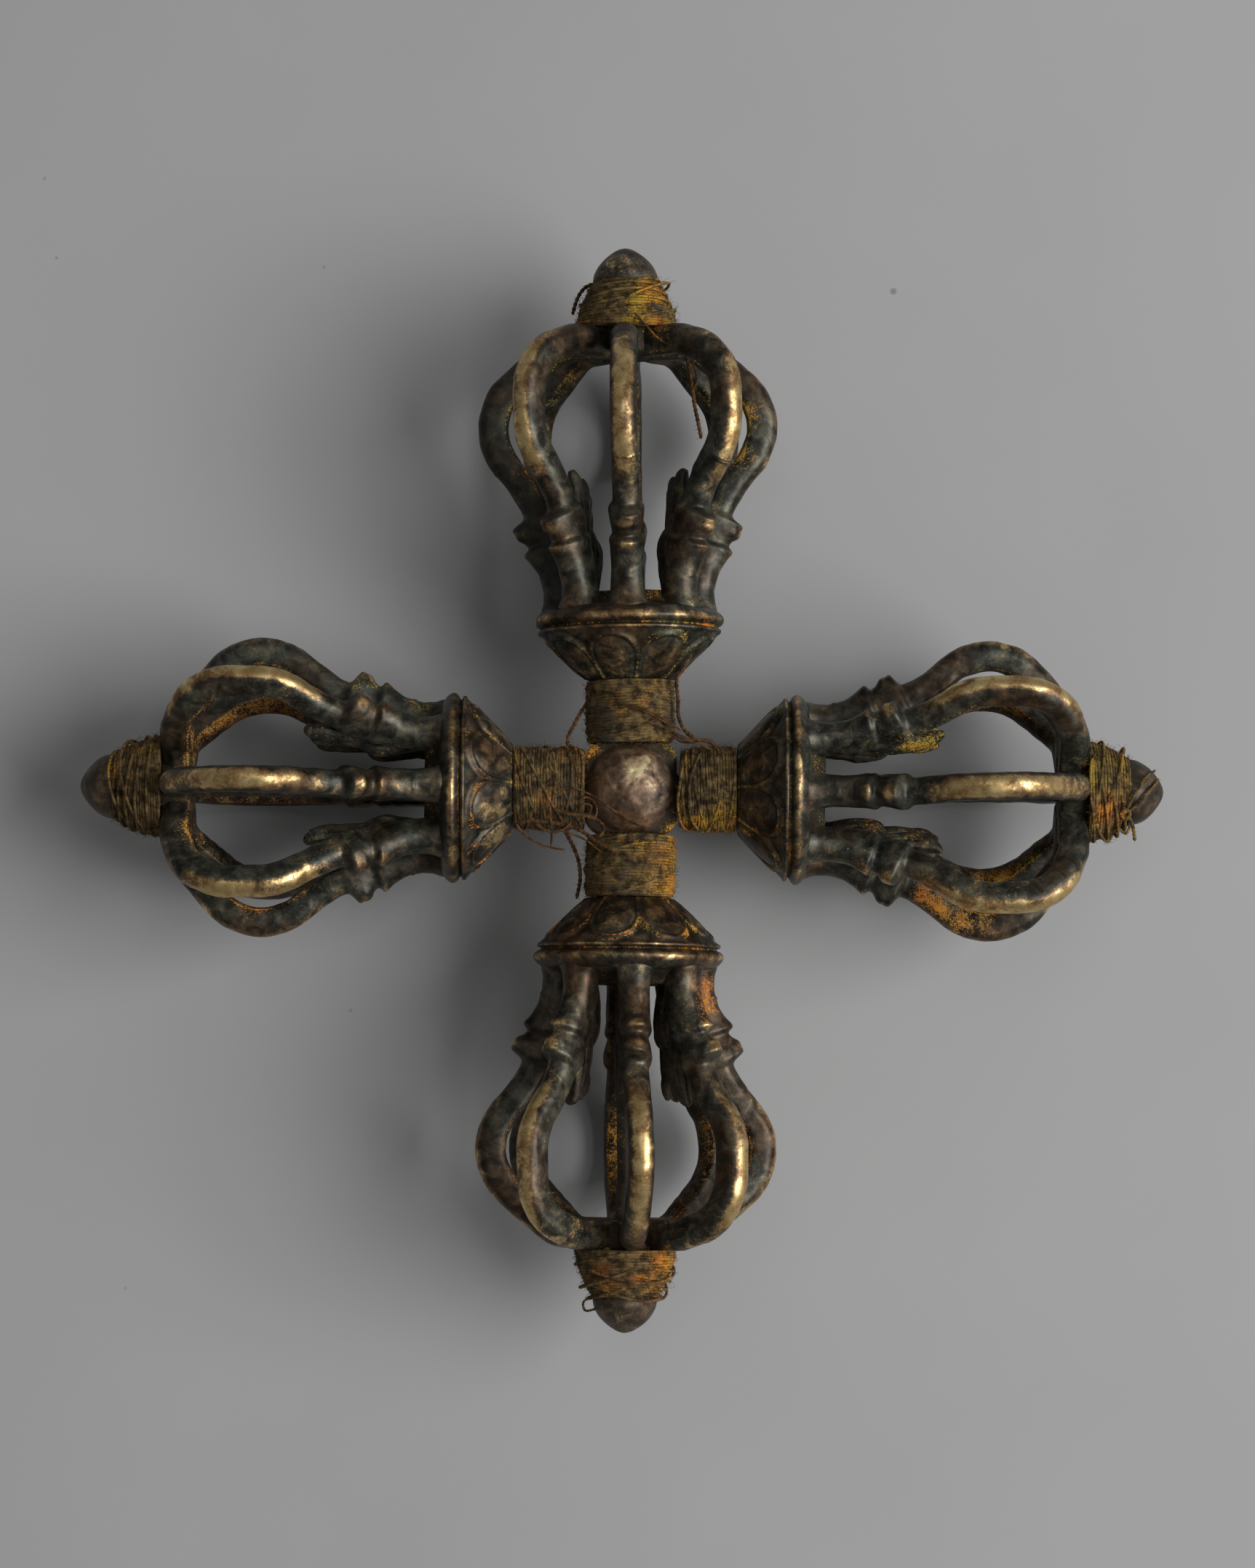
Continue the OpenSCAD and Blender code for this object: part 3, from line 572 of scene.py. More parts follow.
def prongMatrix(head, number):
    swing = math.radians(prongs["swings"][head].get(number, 0))
    angle = math.pi + 2 * math.pi / prongCount * (number - 1) + swing
    return headMatrix(head) @ Matrix.Rotation(angle, 4, "Z")


def arc(centre, radius, start, end, count):
    angles = np.radians(np.linspace(start, end, count))
    return np.stack([centre[0] + radius * np.cos(angles), centre[1] + radius * np.sin(angles)], 1)


def prongLine(shift, drop, upper):  # centre line from foot to crown, evenly spaced
    p = prongs
    face = p["faceHeight"] - drop
    rise, fall = math.radians(p["rise"]), math.radians(upper["fall"])
    reach = p["bowRadius"] - shift
    low = np.array([reach - p["bowBend"], p["bowHeight"]])
    high = np.array([reach - upper["bend"], p["bowHeight"] + upper["run"]])
    bowIn = low + p["bowBend"] * np.array([math.cos(rise), -math.sin(rise)])
    bowOut = high + upper["bend"] * np.array([math.cos(fall), math.sin(fall)])
    step = bowIn - [p["feetRadius"], face]
    stemBend = (step[1] * math.sin(rise) - step[0] * math.cos(rise)) / (1 - math.cos(rise))
    fallRun = (p["tipHeight"] - bowOut[1] - upper["tipBend"] * (1 - math.sin(fall))) / math.cos(fall)
    fallEnd = bowOut + fallRun * np.array([-math.sin(fall), math.cos(fall)])
    tip = fallEnd - upper["tipBend"] * np.array([math.cos(fall), math.sin(fall)])
    line = np.vstack([
        [[p["feetRadius"], face - p["root"]]],
        arc((p["feetRadius"] + stemBend, face), stemBend, 180, 180 - p["rise"], 60),
        arc(low, p["bowBend"], -p["rise"], 0, 40),
        arc(high, upper["bend"], 0, upper["fall"], 40),
        arc(tip, upper["tipBend"], upper["fall"], 90, 30),
        [[p["crownRadius"] - p["tipPast"], p["tipHeight"]]],
    ])
    run = runAlong(line)
    places = np.arange(0, run[-1], p["spacing"])
    line = np.stack([np.interp(places, run, line[:, i]) for i in (0, 1)], 1)
    return places - p["root"], line


def lineSides(line):  # outward side of a line in the plane of the prong
    along = unit(np.gradient(line, axis=0))
    return np.stack([along[:, 1], -along[:, 0]], 1)


def prongSection(outer, inner, half, turns):  # round back, flatter inner face with a crease line
    c, s = np.cos(turns), np.sin(turns)
    back = np.sign(c) * np.abs(c) ** 0.92
    flat = -np.abs(c) ** (2 / 4.4)
    square = np.sign(s) * np.abs(s) ** (2 / 4.4)
    depth = np.where(c >= 0, outer[:, None] * back, inner[:, None] * flat)
    width = half[:, None] * np.where(c >= 0, s, square * (1 - 0.1 * np.abs(np.minimum(c, 0)) ** 3))
    crease = 0.16 * bell(np.abs(square), 0.62, 0.14) * (c < -0.3)
    return depth + crease, width


def inPlane(line, sides, depth, width):
    flat = line[:, None, :] + depth[..., None] * sides[:, None, :]
    return np.stack([flat[..., 0], width, flat[..., 1]], -1)


def tongueShell(points, seed):
    path = throughPoints(points, 70)
    turns = roundTurns(36)
    c, s = np.cos(turns), np.sin(turns)
    furrow = 1 - 0.2 * (0.5 + 0.5 * np.cos(2 * math.pi * 2.2 * c + seed))
    depth = path[:, 2:3] * c
    width = path[:, 3:4] * np.sign(s) * np.abs(s) ** 0.75 * furrow
    return loft(inPlane(path[:, :2], lineSides(path[:, :2]), depth, width))


def browShell(places, line, sway):
    at = np.searchsorted(places, brow["place"])
    side = lineSides(line)[at]
    along = np.array([-side[1], side[0]])
    latitudes, angles = np.meshgrid(np.linspace(-1.5, 1.5, 14), roundTurns(24), indexing="ij")
    deep = brow["out"] + brow["deep"] * np.cos(latitudes) * np.cos(angles)
    long = brow["long"] * np.cos(latitudes) * np.sin(angles)
    flat = line[at] + deep[..., None] * side + long[..., None] * along
    return loft(np.stack([flat[..., 0], brow["wide"] * np.sin(latitudes) + sway[at], flat[..., 1]], -1))


def prongShells(head, number, seed):
    rng = np.random.default_rng(seed)
    drop = heads[head]["drop"]
    upper = prongs["squarer" if number in prongs["squarerOnes"] else "plain"]
    places, line = prongLine(rng.uniform(0.0, 0.12), drop, upper)
    swell = rng.uniform(0.95, 1.05, 3)
    outer = profileAt(prongs["outer"], places)
    outer = np.where(places < prongs["headEnd"], 2 + (outer - 2) * swell[0], outer)
    half = profileAt(prongs["half"], places) * swell[1]
    inner = profileAt(prongs["inner"], places) * swell[2]
    depth, width = prongSection(outer, inner, half, roundTurns(40))
    lean = prongs["leans"][head] if number == 1 else rng.uniform(-0.35, 0.35)
    sway = lean * np.sin(np.pi * np.clip((places - prongs["leanFrom"]) / prongs["leanRun"], 0, 1))
    stem = inPlane(line, lineSides(line), depth, width + sway[:, None])
    shells = [loft(stem), browShell(places, line, sway)]
    for i, points in enumerate(tongues):
        grown = []
        for out, up, deep, wide in points:
            out = out + rng.uniform(-0.15, 0.15)
            up = up - drop + rng.uniform(-0.4, 0.3)
            grown.append((out, up, deep * rng.uniform(0.9, 1.1), wide))
        shells.append(tongueShell(grown, i * 1.3 + number))
    return shells, places, line


def prongWear(mesh, places, line, matrix, rubbed, soot, seed):
    p = prongs
    points, normals = pointsOf(mesh), pointsOf(mesh, "normal")
    flat = points[:, [0, 2]]
    nearest = ((flat[:, None, :] - line[None, ::2, :]) ** 2).sum(2).argmin(1) * 2
    at = places[nearest]
    sides = lineSides(line)[nearest]
    facing = normals[:, 0] * sides[:, 0] + normals[:, 2] * sides[:, 1]
    outside = ((flat - line[nearest]) * sides).sum(1)
    up = normals @ np.array(matrix)[:3, :3].T[:, 2]
    tongue = (outside < p["tongueReach"]) & (at < p["tongueEnd"])
    hollow = smoothstep(0.05, 0.35, hollows(mesh, 3))

    bowPart = smoothstep(*p["wearFrom"], at) * (1 - smoothstep(*p["wearTo"], at))
    ridges = sum(bell(at, middle, width) for middle, width in p["ridges"])
    streaks = np.stack([0.3 * at, points[:, 1], outside], 1)
    uneven = 0.24 * wobble(points, seed, 7) + 0.28 * wobble(streaks, seed + 9, 2.4)
    wear = smoothstep(0.4, 0.97, facing) * ((0.72 + uneven) * bowPart * rubbed + 0.58 * ridges + 0.16)

    inner = smoothstep(0.1, 0.8, -facing)
    under = smoothstep(*p["dustFrom"], at) * (1 - smoothstep(*p["dustTo"], at))
    dust = inner * (0.08 + 0.16 * under + 0.22 * smoothstep(0.1, 0.8, up))
    dust = dust + 0.18 * bell(facing, -0.72, 0.16) * under + 0.24 * hollow
    dust = np.where(tongue, 0.10 + 0.34 * hollow + 0.12 * smoothstep(0, 0.8, up), dust)
    # the last grime term is painted shade for the prongs that lie in shade
    setLook(mesh, wear=evened(mesh, np.where(tongue, 0.05, wear), 8),
            grime=0.75 * hollow + np.where(tongue, 0.3, 0.12 * inner) + soot,
            dust=dust + 0.10 * wobble(points, seed + 40, 12))


for headNumber, head in enumerate(heads):
    for number in range(1, prongCount + 1):
        seed = seeds["prong"] + headNumber * prongCount + number
        shells, places, line = prongShells(head, number, seed)
        obj = castTogether("%sProng%d" % (head, number), shells, prongs["voxel"], prongs["keep"])
        points, normals = pointsOf(obj.data), pointsOf(obj.data, "normal")
        uneven = 0.07 * wobble(points, seed, 6) + 0.035 * wobble(points, seed + 50, 1.9)
        setPoints(obj.data, points + normals * uneven[:, None])
        matrix = prongMatrix(head, number)
        rubbed = prongs["worn"][head].get(number, prongs["rubbed"][number - 1])
        prongWear(obj.data, places, line, matrix, rubbed, prongs["soot"][head].get(number, 0), seed)
        finishPiece(obj, matrix, castBronze, "prong_%s_%d" % (head, number))
print("prongs placed, triangles in the last:", len(obj.data.polygons))


# Lotus seats: a turned body with petals raised on its cone
seat = {
    "neckRadius": 6.1, "rimRadius": 13.2, "coneLength": 6.7, "petals": 8, "around": 320, "coneSteps": 60,
    "backSteps": 90, "petalRise": 0.38, "lineRise": 0.32, "archWide": 0.95, "archBend": 0.34, "archTop": 0.89,
    "hole": (3.0, 0.3), "lip": 0.4,  # start of the outline at the hub's side
    # rest of the outline behind the rim: (distance from the arm, height along it)
    "back": [(13.4, 6.78), (13.5, 7.0), (13.4, 7.28), (13.0, 7.45), (12.9, 7.58), (13.15, 7.75),
             (13.65, 8.05), (13.93, 8.45), (13.95, 8.8), (13.75, 9.25), (13.3, 9.75), (12.75, 10.15),
             (12.1, 10.4), (11.3, 10.55), (10.5, 10.8), (9.7, 11.4), (9.0, 12.2), (8.2, 12.7), (7.0, 12.6),
             (5.0, 11.8), (2.0, 11.3), (0.4, 11.3)],
    # heights of the rim, the groove and the prong feet, and the radius of the ring
    "rim": 7.0, "groove": 7.58, "feet": (10.2, 11.2), "ring": 14.0,
}


def petalRelief(head, angle, along):  # along runs from 0 at the neck to 1 at the rim
    phase = math.pi + math.radians(heads[head]["petalTurn"])
    step = 2 * math.pi / seat["petals"]
    across = (np.mod(angle - phase + step / 2, step) - step / 2) / (step / 2)
    past = np.clip(along - seat["archBend"], 0, 1) / (seat["archTop"] - seat["archBend"])
    arch = np.sqrt((across / seat["archWide"]) ** 2 + past ** 2)  # 1 along the outline of a petal
    line = bell(arch, 1, 0.07) * smoothstep(-0.02, 0.06, along) * (1 - smoothstep(0.95, 0.99, along))
    inside = np.clip((0.88 - arch) / 0.42, 0, 1) * smoothstep(0.0, 0.3, along)
    pillow = np.sqrt(1 - (1 - inside) ** 2)
    relief = seat["lineRise"] * line + seat["petalRise"] * pillow - 0.18 * bell(arch, 1.2, 0.1)
    return relief, line, pillow, arch


def lotusSeat(head, seed):
    widening = seat["rimRadius"] - seat["neckRadius"]
    along = np.linspace(0, 1, seat["coneSteps"])
    cone = np.array([[seat["neckRadius"], 0]]) + along[:, None] * [[widening, seat["coneLength"]]]
    back = throughPoints(seat["back"], seat["backSteps"])
    outline = np.vstack([seat["hole"], (seat["neckRadius"] - seat["lip"], 0), cone, back])
    share = np.concatenate([[-1, -1], along, np.full(len(back), -1)])[:, None]
    relief = petalRelief(head, roundTurns(seat["around"])[None, :], share)[0] * (share >= 0)
    slope = unit(np.array([seat["coneLength"], -widening]))
    rings = spun(outline[:, :1] + relief * slope[0], outline[:, 1:] + relief * slope[1], seat["around"])
    verts, faces = loft(rings)
    uneven = 0.07 * wobble(verts, seed, 7) + 0.03 * wobble(verts, seed + 20, 1.8)
    obj = newObject(head + "LotusSeat", verts + uneven[:, None] * unit(verts), faces)
    outwards(obj.data)
    return obj


def seatWear(mesh, head, seed):
    points, normals = pointsOf(mesh), pointsOf(mesh, "normal")
    radius, height = np.hypot(points[:, 0], points[:, 1]), points[:, 2]
    angle = np.arctan2(points[:, 1], points[:, 0])
    along = np.clip((radius - seat["neckRadius"]) / (seat["rimRadius"] - seat["neckRadius"]), 0, 1)
    line, pillow, arch = petalRelief(head, angle, along)[1:]
    onCone = smoothstep(0.15, 0.3, -normals[:, 2]) * (height < seat["coneLength"] + 0.2)
    beside = bell(arch, 1.05, 0.10) * (along < 0.97) * onCone
    hollow = smoothstep(0.04, 0.25, hollows(mesh, 2))
    rim = bell(height, seat["rim"], 0.25) * (radius > 12.8)
    groove = bell(height, seat["groove"], 0.2) * (radius > 11)
    ring = bell(radius, seat["ring"], 0.3) * (height > 7.8)
    feet = smoothstep(*seat["feet"], height)
    uneven = 0.5 + 0.5 * wobble(points, seed, 5)
    worn = (0.1 + 0.5 * uneven) * rim + (0.26 + 0.52 * uneven) * ring + onCone * (0.34 * pillow + 0.24 * line)
    dust = 0.62 * groove + 0.34 * feet + 0.78 * beside * (0.45 + 0.55 * uneven)
    dust = dust + onCone * (0.3 * hollow + 0.35 * bell(along, 0.02, 0.06))
    setLook(mesh, wear=worn, dust=dust + 0.12 * wobble(points, seed + 30, 8),
            grime=0.8 * hollow + 0.45 * groove + 0.55 * feet + 0.2 * onCone * (1 - pillow))


for i, head in enumerate(heads):
    obj = lotusSeat(head, seeds["seat"] + i)
    seatWear(obj.data, head, seeds["seatWear"] + i)
    seated = headMatrix(head) @ Matrix.Translation((0, 0, -heads[head]["drop"]))
    finishPiece(obj, seated, castBronze, "lotus_seat_" + head)
print("lotus seats placed")


# Finials with their domes, and the straight centre prongs
finial = {
    "outline": [(0.5, 47.2), (3.6, 47.25), (5.3, 47.6), (5.6, 49.4), (5.3, 51.2), (4.6, 51.9), (4.1, 54.0),
                (3.4, 57.6), (4.3, 58.0), (4.7, 58.4), (4.75, 59.1), (4.5, 60.1), (3.95, 61.1), (3.15, 62.0),
                (2.15, 62.8), (1.15, 63.4), (0.3, 63.66)],
    "around": 64, "steps": 110, "uneven": 0.08,
    # heights: the dome's foot and where its wear is full, the crown's top, and the stretch of the neck
    # that is shorter where a dome sits lower
    "domeFoot": 58.3, "domeWorn": 59.5, "crownTop": 51, "neck": (54, 58),
}
centreProng = {
    "outline": [(0.3, 8.0), (1.45, 8.1), (1.5, 10.4), (1.75, 10.8), (1.55, 12), (1.35, 20), (1.5, 30),
                (1.4, 40), (1.5, 46.6), (1.5, 48.5), (0.3, 48.6)],
    "around": 24, "steps": 60, "uneven": 0.15, "collar": 10.5,
}


def turned(name, shape, seed):
    outline = throughPoints(shape["outline"], shape["steps"])
    verts, faces = loft(spun(outline[:, :1], outline[:, 1:], shape["around"]))
    swing = shape["uneven"] * wobble(verts, seed, 5)
    verts[:, :2] *= (1 + swing / 5)[:, None]
    obj = newObject(name, verts, faces)
    outwards(obj.data)
    return obj


for i, head in enumerate(heads):
    obj = turned(head + "Finial", finial, seeds["finial"] + i)
    points = pointsOf(obj.data)
    height = points[:, 2].copy()
    dome = smoothstep(finial["domeFoot"], finial["domeWorn"], height)
    setLook(obj.data, wear=0.22 * dome, grime=0.5 * (1 - dome),
            dust=0.4 * bell(height, finial["domeFoot"], 0.6) + 0.2 * (height < finial["crownTop"]))
    points[:, 2] -= heads[head]["dome"] * smoothstep(*finial["neck"], height)
    setPoints(obj.data, points)
    finishPiece(obj, headMatrix(head), domeBronze, "finial_" + head)
    obj = turned(head + "CentreProng", centreProng, seeds["centreProng"] + i)
    height = pointsOf(obj.data)[:, 2]
    setLook(obj.data, wear=0.12, grime=0.3 + 0.4 * bell(height, centreProng["collar"], 1.5),
            dust=0.12 + 0.2 * bell(height, centreProng["collar"], 2))
    finishPiece(obj, headMatrix(head), darkBronze, "centre_prong_" + head)
print("finials and centre prongs placed")


# Ball hub with pits, its collar, and the spigots under the bindings
hub = {
    "radius": 6.98, "around": 80, "spigotRadius": 2.0, "spigotStart": 3, "spigotEnd": 21, "voxel": 0.22,
    "keep": 0.4, "collarHalfWidth": 6.75, "collarHalfHeight": 2.5, "collarCorner": 2.5, "collarBevel": 0.35,
    "wornWay": (0.22, 0.36, 0.9), "pitDepth": 0.26,
    # pits on the upper side: x and y as shares of the radius, and width
    "pits": [(-0.30, 0.0, 0.4), (-0.03, 0.05, 0.4), (-0.13, -0.29, 0.4), (0.58, 0.17, 0.45),
             (0.62, -0.22, 0.3), (0.5, 0.3, 0.35), (0.2, 0.12, 0.3), (0.05, 0.3, 0.3), (0.66, 0.02, 0.3),
             (-0.2, 0.2, 0.25)],
}


def collarShell():  # rounded square between the four bindings
    corner, half, bevel = hub["collarCorner"], hub["collarHalfWidth"], hub["collarBevel"]
    turns = roundTurns(hub["around"]) + math.pi / hub["around"]
    around = np.stack([np.cos(turns), np.sin(turns)], 1)
    rings = []
    for height, inset in ((-1, bevel), (-0.9, 0), (0.9, 0), (1, bevel)):
        outline = np.sign(around) * (half - corner) + around * (corner - inset)
        rings.append(np.column_stack([outline, np.full(len(outline), height * hub["collarHalfHeight"])]))
    return loft(np.array(rings))


def hubShells():
    latitudes = np.linspace(-math.pi / 2 + 0.02, math.pi / 2 - 0.02, 60)[:, None]
    ball = spun(np.cos(latitudes), np.sin(latitudes), hub["around"]) * hub["radius"]
    ends = np.array([[hub["spigotStart"]], [hub["spigotEnd"]]], float)
    spigot = spun(np.full((2, 1), hub["spigotRadius"]), ends, hub["around"])
    return [loft(ball), collarShell()] + [loft(place(armTurn(head), spigot)) for head in heads]


def hubWear(mesh, ball):
    points = pointsOf(mesh)
    lean = unit(points)
    level = np.abs(lean[:, 2])
    patch = smoothstep(0.84, 0.99, lean @ unit(np.array(hub["wornWay"]))) * ball
    flaked = smoothstep(-0.15, 0.3, wobble(points, 9, 2.4))
    wear = 0.2 * smoothstep(0.3, 0.95, level) + patch * (0.25 + 0.42 * flaked)
    # edge and rim mark the ball's sides and low band; the grime put there is painted shade, and the dust at
    # the edge is powder by the collar
    edge = 1 - smoothstep(0.25, 0.42, level)
    rim = 1 - smoothstep(0.30, 0.62, level)
    corners = smoothstep(0.5, 0.95, np.abs(points[:, 0] * points[:, 1]) / 40)
    setLook(mesh, wear=ball * wear,
            grime=0.7 * smoothstep(0.03, 0.2, hollows(mesh, 2)) + 0.35 * edge + 0.45 * rim,
            dust=(0.36 + 0.2 * corners) * edge + 0.12 * wobble(points, 8, 4) * edge)


obj = castTogether("ballHub", hubShells(), hub["voxel"], hub["keep"])
points, normals = pointsOf(obj.data), pointsOf(obj.data, "normal")
onBall = (np.abs(np.linalg.norm(points, axis=1) - hub["radius"]) < 0.25) & (np.abs(points[:, 2]) > 2)
for x, y, size in hub["pits"]:
    spot = np.array([x, y, math.sqrt(1 - x * x - y * y)]) * hub["radius"]
    away = np.linalg.norm(points - spot, axis=1)
    points -= normals * (hub["pitDepth"] * np.exp(-(away / size) ** 2) * onBall)[:, None]
points += normals * (0.05 * wobble(points, 7, 5) - 0.03)[:, None]
setPoints(obj.data, points)
hubWear(obj.data, onBall)
finishPiece(obj, hubPlace, hubBronze, "hub")
print("hub placed")


# Thread: trees for a winding and for its fuzz
def newTree(name, inputs):
    tree = bpy.data.node_groups.new(name, "GeometryNodeTree")
    tree.interface.new_socket("Geometry", in_out="INPUT", socket_type="NodeSocketGeometry")
    for label, kind, value in inputs:
        socket = tree.interface.new_socket(label, in_out="INPUT", socket_type="NodeSocket" + kind)
        if value is not None:
            socket.default_value = value
    tree.interface.new_socket("Geometry", in_out="OUTPUT", socket_type="NodeSocketGeometry")
    given = {socket.name: Value(socket) for socket in tree.nodes.new("NodeGroupInput").outputs}
    return tree, given, tree.nodes.new("NodeGroupOutput")


def painted(geometry, material):
    real = newNode(geometry.tree, "GeometryNodeRealizeInstances", {0: geometry})
    return newNode(geometry.tree, "GeometryNodeSetMaterial", {"Geometry": real, "Material": material})


def setInputs(modifier, values):
    for item in modifier.node_group.interface.items_tree:
        if item.in_out == "INPUT" and item.name in values:
            modifier[item.identifier] = values[item.name]


def windingTree():
    tree, given, result = newTree("woundThread", [
        ("Turns", "Float", 14.0), ("First radius", "Float", 0.0057), ("Last radius", "Float", 0.0057),
        ("Belly", "Float", 0.0), ("Start", "Float", 0.007), ("Length", "Float", 0.008),
        ("Lean", "Float", 0.0003), ("Wander", "Float", 0.0002), ("Thread", "Float", 0.0006),
        ("Points", "Int", 500), ("Seed", "Float", 0.0), ("Material", "Material", None)])
    line = newNode(tree, "GeometryNodeCurvePrimitiveLine")
    line = newNode(tree, "GeometryNodeResampleCurve", {"Curve": line, "Count": given["Points"]})
    share = newNode(tree, "GeometryNodeSplineParameter", out="Factor")
    turnsDone = share * given["Turns"]
    angle = turnsDone * (2 * math.pi) + given["Seed"]
    cosine, sine = calc("COSINE", angle), calc("SINE", angle)
    spot = newNode(tree, "ShaderNodeCombineXYZ", {0: cosine * 2.0, 1: sine * 2.0, 2: turnsDone * 0.7})
    uneven = newNode(tree, "ShaderNodeTexNoise", {
        "Vector": spot, "W": given["Seed"], "Scale": 0.9, "Detail": 2}, noise_dimensions="4D")
    drift = (uneven - 0.5) * given["Wander"]
    bulge = calc("SINE", share * math.pi)
    radius = given["First radius"] + share * (given["Last radius"] - given["First radius"])
    radius = radius + bulge * given["Belly"] + drift
    slant = calc("SINE", angle + given["Seed"]) * given["Lean"] * calc("POWER", bulge, 0.5)
    height = given["Start"] + share * given["Length"] + slant + drift * 0.6
    wound = newNode(tree, "ShaderNodeCombineXYZ", {0: cosine * radius, 1: sine * radius, 2: height})
    line = newNode(tree, "GeometryNodeSetPosition", {"Geometry": line, "Position": wound})
    ring = newNode(tree, "GeometryNodeCurvePrimitiveCircle", {
        "Resolution": 6, "Radius": given["Thread"] * 0.5})
    tube = newNode(tree, "GeometryNodeCurveToMesh", {"Curve": line, "Profile Curve": ring, "Fill Caps": True})
    fill(result, {0: painted(tube, given["Material"])})
    return tree


def fuzzTree():
    tree, given, result = newTree("threadFuzz", [
        ("Density", "Float", 400000.0), ("Length", "Float", 0.0012), ("Thickness", "Float", 0.00005),
        ("Seed", "Int", 1), ("Material", "Material", None)])
    scatter = newNode(tree, "GeometryNodeDistributePointsOnFaces", {
        "Mesh": given["Geometry"], "Density": given["Density"], "Seed": given["Seed"]}, out="Points")
    hair = newNode(tree, "GeometryNodeCurveQuadraticBezier", {
        "Resolution": 4, "Start": (0, 0, 0), "Middle": (0.25, 0.1, 0.45), "End": (0.95, -0.1, 0.5)})
    thin = given["Thickness"] / given["Length"]
    ring = newNode(tree, "GeometryNodeCurvePrimitiveCircle", {"Resolution": 3, "Radius": thin * 0.5})
    tube = newNode(tree, "GeometryNodeCurveToMesh", {"Curve": hair, "Profile Curve": ring})
    spin = newNode(tree, "FunctionNodeRandomValue", {
        "Min": (-0.5, -0.5, -3.14), "Max": (0.5, 0.5, 3.14), "Seed": given["Seed"]}, data_type="FLOAT_VECTOR")
    turn = newNode(tree, "FunctionNodeRotateRotation", {
        0: scatter.out("Rotation"), 1: spin}, rotation_space="LOCAL")
    size = newNode(tree, "FunctionNodeRandomValue", {2: 0.3, 3: 1.0, "Seed": given["Seed"]}, out=1)
    hairs = newNode(tree, "GeometryNodeInstanceOnPoints", {
        "Points": scatter, "Instance": tube, "Rotation": turn, "Scale": size * given["Length"]})
    both = newNode(tree, "GeometryNodeJoinGeometry", {0: hairs})
    fill(both.socket.node, {0: given["Geometry"]})
    fill(result, {0: painted(both, given["Material"])})
    return tree


woundThread = windingTree()
threadFuzz = fuzzTree()
bindings = {
    "thread": 0.46, "step": 0.43, "pointsTurn": 36, "plies": 2, "twist": 2.6,
    "fuzz": {"density": 0.9, "length": 1.1},
    # how far the matted core lies under the outer turns and short of their ends, and the slack around them
    "coreUnder": 0.32, "coreInset": 0.15, "slack": 0.05,
    # outside radius of each neck binding, its start past the ball and how much narrower it is there,
    # the side that holds most powder, how much, and its hue
    "necks": {
        "east": {"outer": 6.4, "start": 0.1, "eased": 0.6,
                 "powder": (0, -0.8, 0.1), "dust": 0.32, "hue": 0.02},
        "north": {"outer": 6.68, "start": -0.3, "eased": 0.25,
                  "powder": (0.3, 0.2, 0.2), "dust": 0.16, "hue": 0.10},
        "west": {"outer": 6.2, "start": -0.3, "eased": 0.35,
                 "powder": (0.0, 0.3, 0.2), "dust": 0.18, "hue": 0.02},
        "south": {"outer": 6.75, "start": -0.2, "eased": 0.4,
                  "powder": (1.1, -0.2, 0), "dust": 0.24, "hue": -0.06},
    },
    "seatEased": 0.15, "neckBelly": 0.05,  # how much narrower at the seat, and the belly besides the easing
    "tips": {
        "east": {"powder": (0.1, 0.4, 0.3), "dust": 0.34, "hue": 0.0},
        "north": {"powder": (0.2, 0.2, 0.3), "dust": 0.28, "hue": 0.06},
        "west": {"powder": (-0.1, 0.5, 0.1), "dust": 0.17, "hue": 0.02},
        "south": {"powder": (0.8, -0.2, 0.1), "dust": 0.24, "hue": 0.0},
    },
    "tipStart": 51.3, "tipEnd": 58.7, "tipWide": 7.65, "tipNarrow": 5.0, "tipBelly": 0.4,
    # layers of thread: share of the turns, rise, lean, wander, phase
    "layers": [(1.0, 0.0, 0.12, 0.45, 0), (0.8, -0.2, 0.5, 0.5, 2.1), (0.30, 0.08, 1.3, 0.5, 4.4),
               (0.16, 0.14, 2.2, 0.6, 1.2), (0.14, 0.14, 3.0, 0.6, 3.3)],
    # ends tied on the tips, as points from the middle of the hub: thickness and line
    "knots": {
        "east": [
            (0.5, [(77.5, 1.3, 2.2), (75.9, -0.6, 4.7), (74.2, -2.5, 4.9), (72.6, -3.7, 4.7)]),
            (0.45, [(77.0, 2.6, 2.4), (75.2, 1.2, 4.9), (73.6, -1.2, 5.6), (72.2, -3.8, 4.9)]),
            (0.8, [(72.0, -3.2, 5.2), (72.9, -3.9, 4.9), (72.3, -4.6, 4.4), (71.6, -3.9, 4.9),
                   (72.6, -3.6, 5.3)]),
            (0.6, [(72.4, -4.0, 4.8), (73.2, -4.9, 3.6), (73.8, -6.2, 1.8), (74.1, -7.7, 0.6)]),
        ],
        "south": [
            (0.8, [(-3.0, -67.3, 5.6), (-3.9, -67.6, 5.5), (-3.7, -68.5, 5.5), (-2.9, -68.2, 6.0),
                   (-3.6, -67.5, 6.1)]),
            (0.4, [(-4.6, -73.8, 1.4), (-6.2, -74.6, 1.2), (-7.0, -75.4, 1), (-6.6, -76.5, 0.6),
                   (-5, -76.2, 0.4)]),
        ],
    },
}


def winding(name, values):
    obj = newObject(name, np.zeros((1, 3)), [])
    modifier = obj.modifiers.new("winding", "NODES")
    modifier.node_group = woundThread
    setInputs(modifier, {**values, "Material": boundThread})
    bakeModifiers(obj)
    verts = pointsOf(obj.data)
    faces = [tuple(p.vertices) for p in obj.data.polygons]
    bpy.data.objects.remove(obj)
    return verts / mm, faces


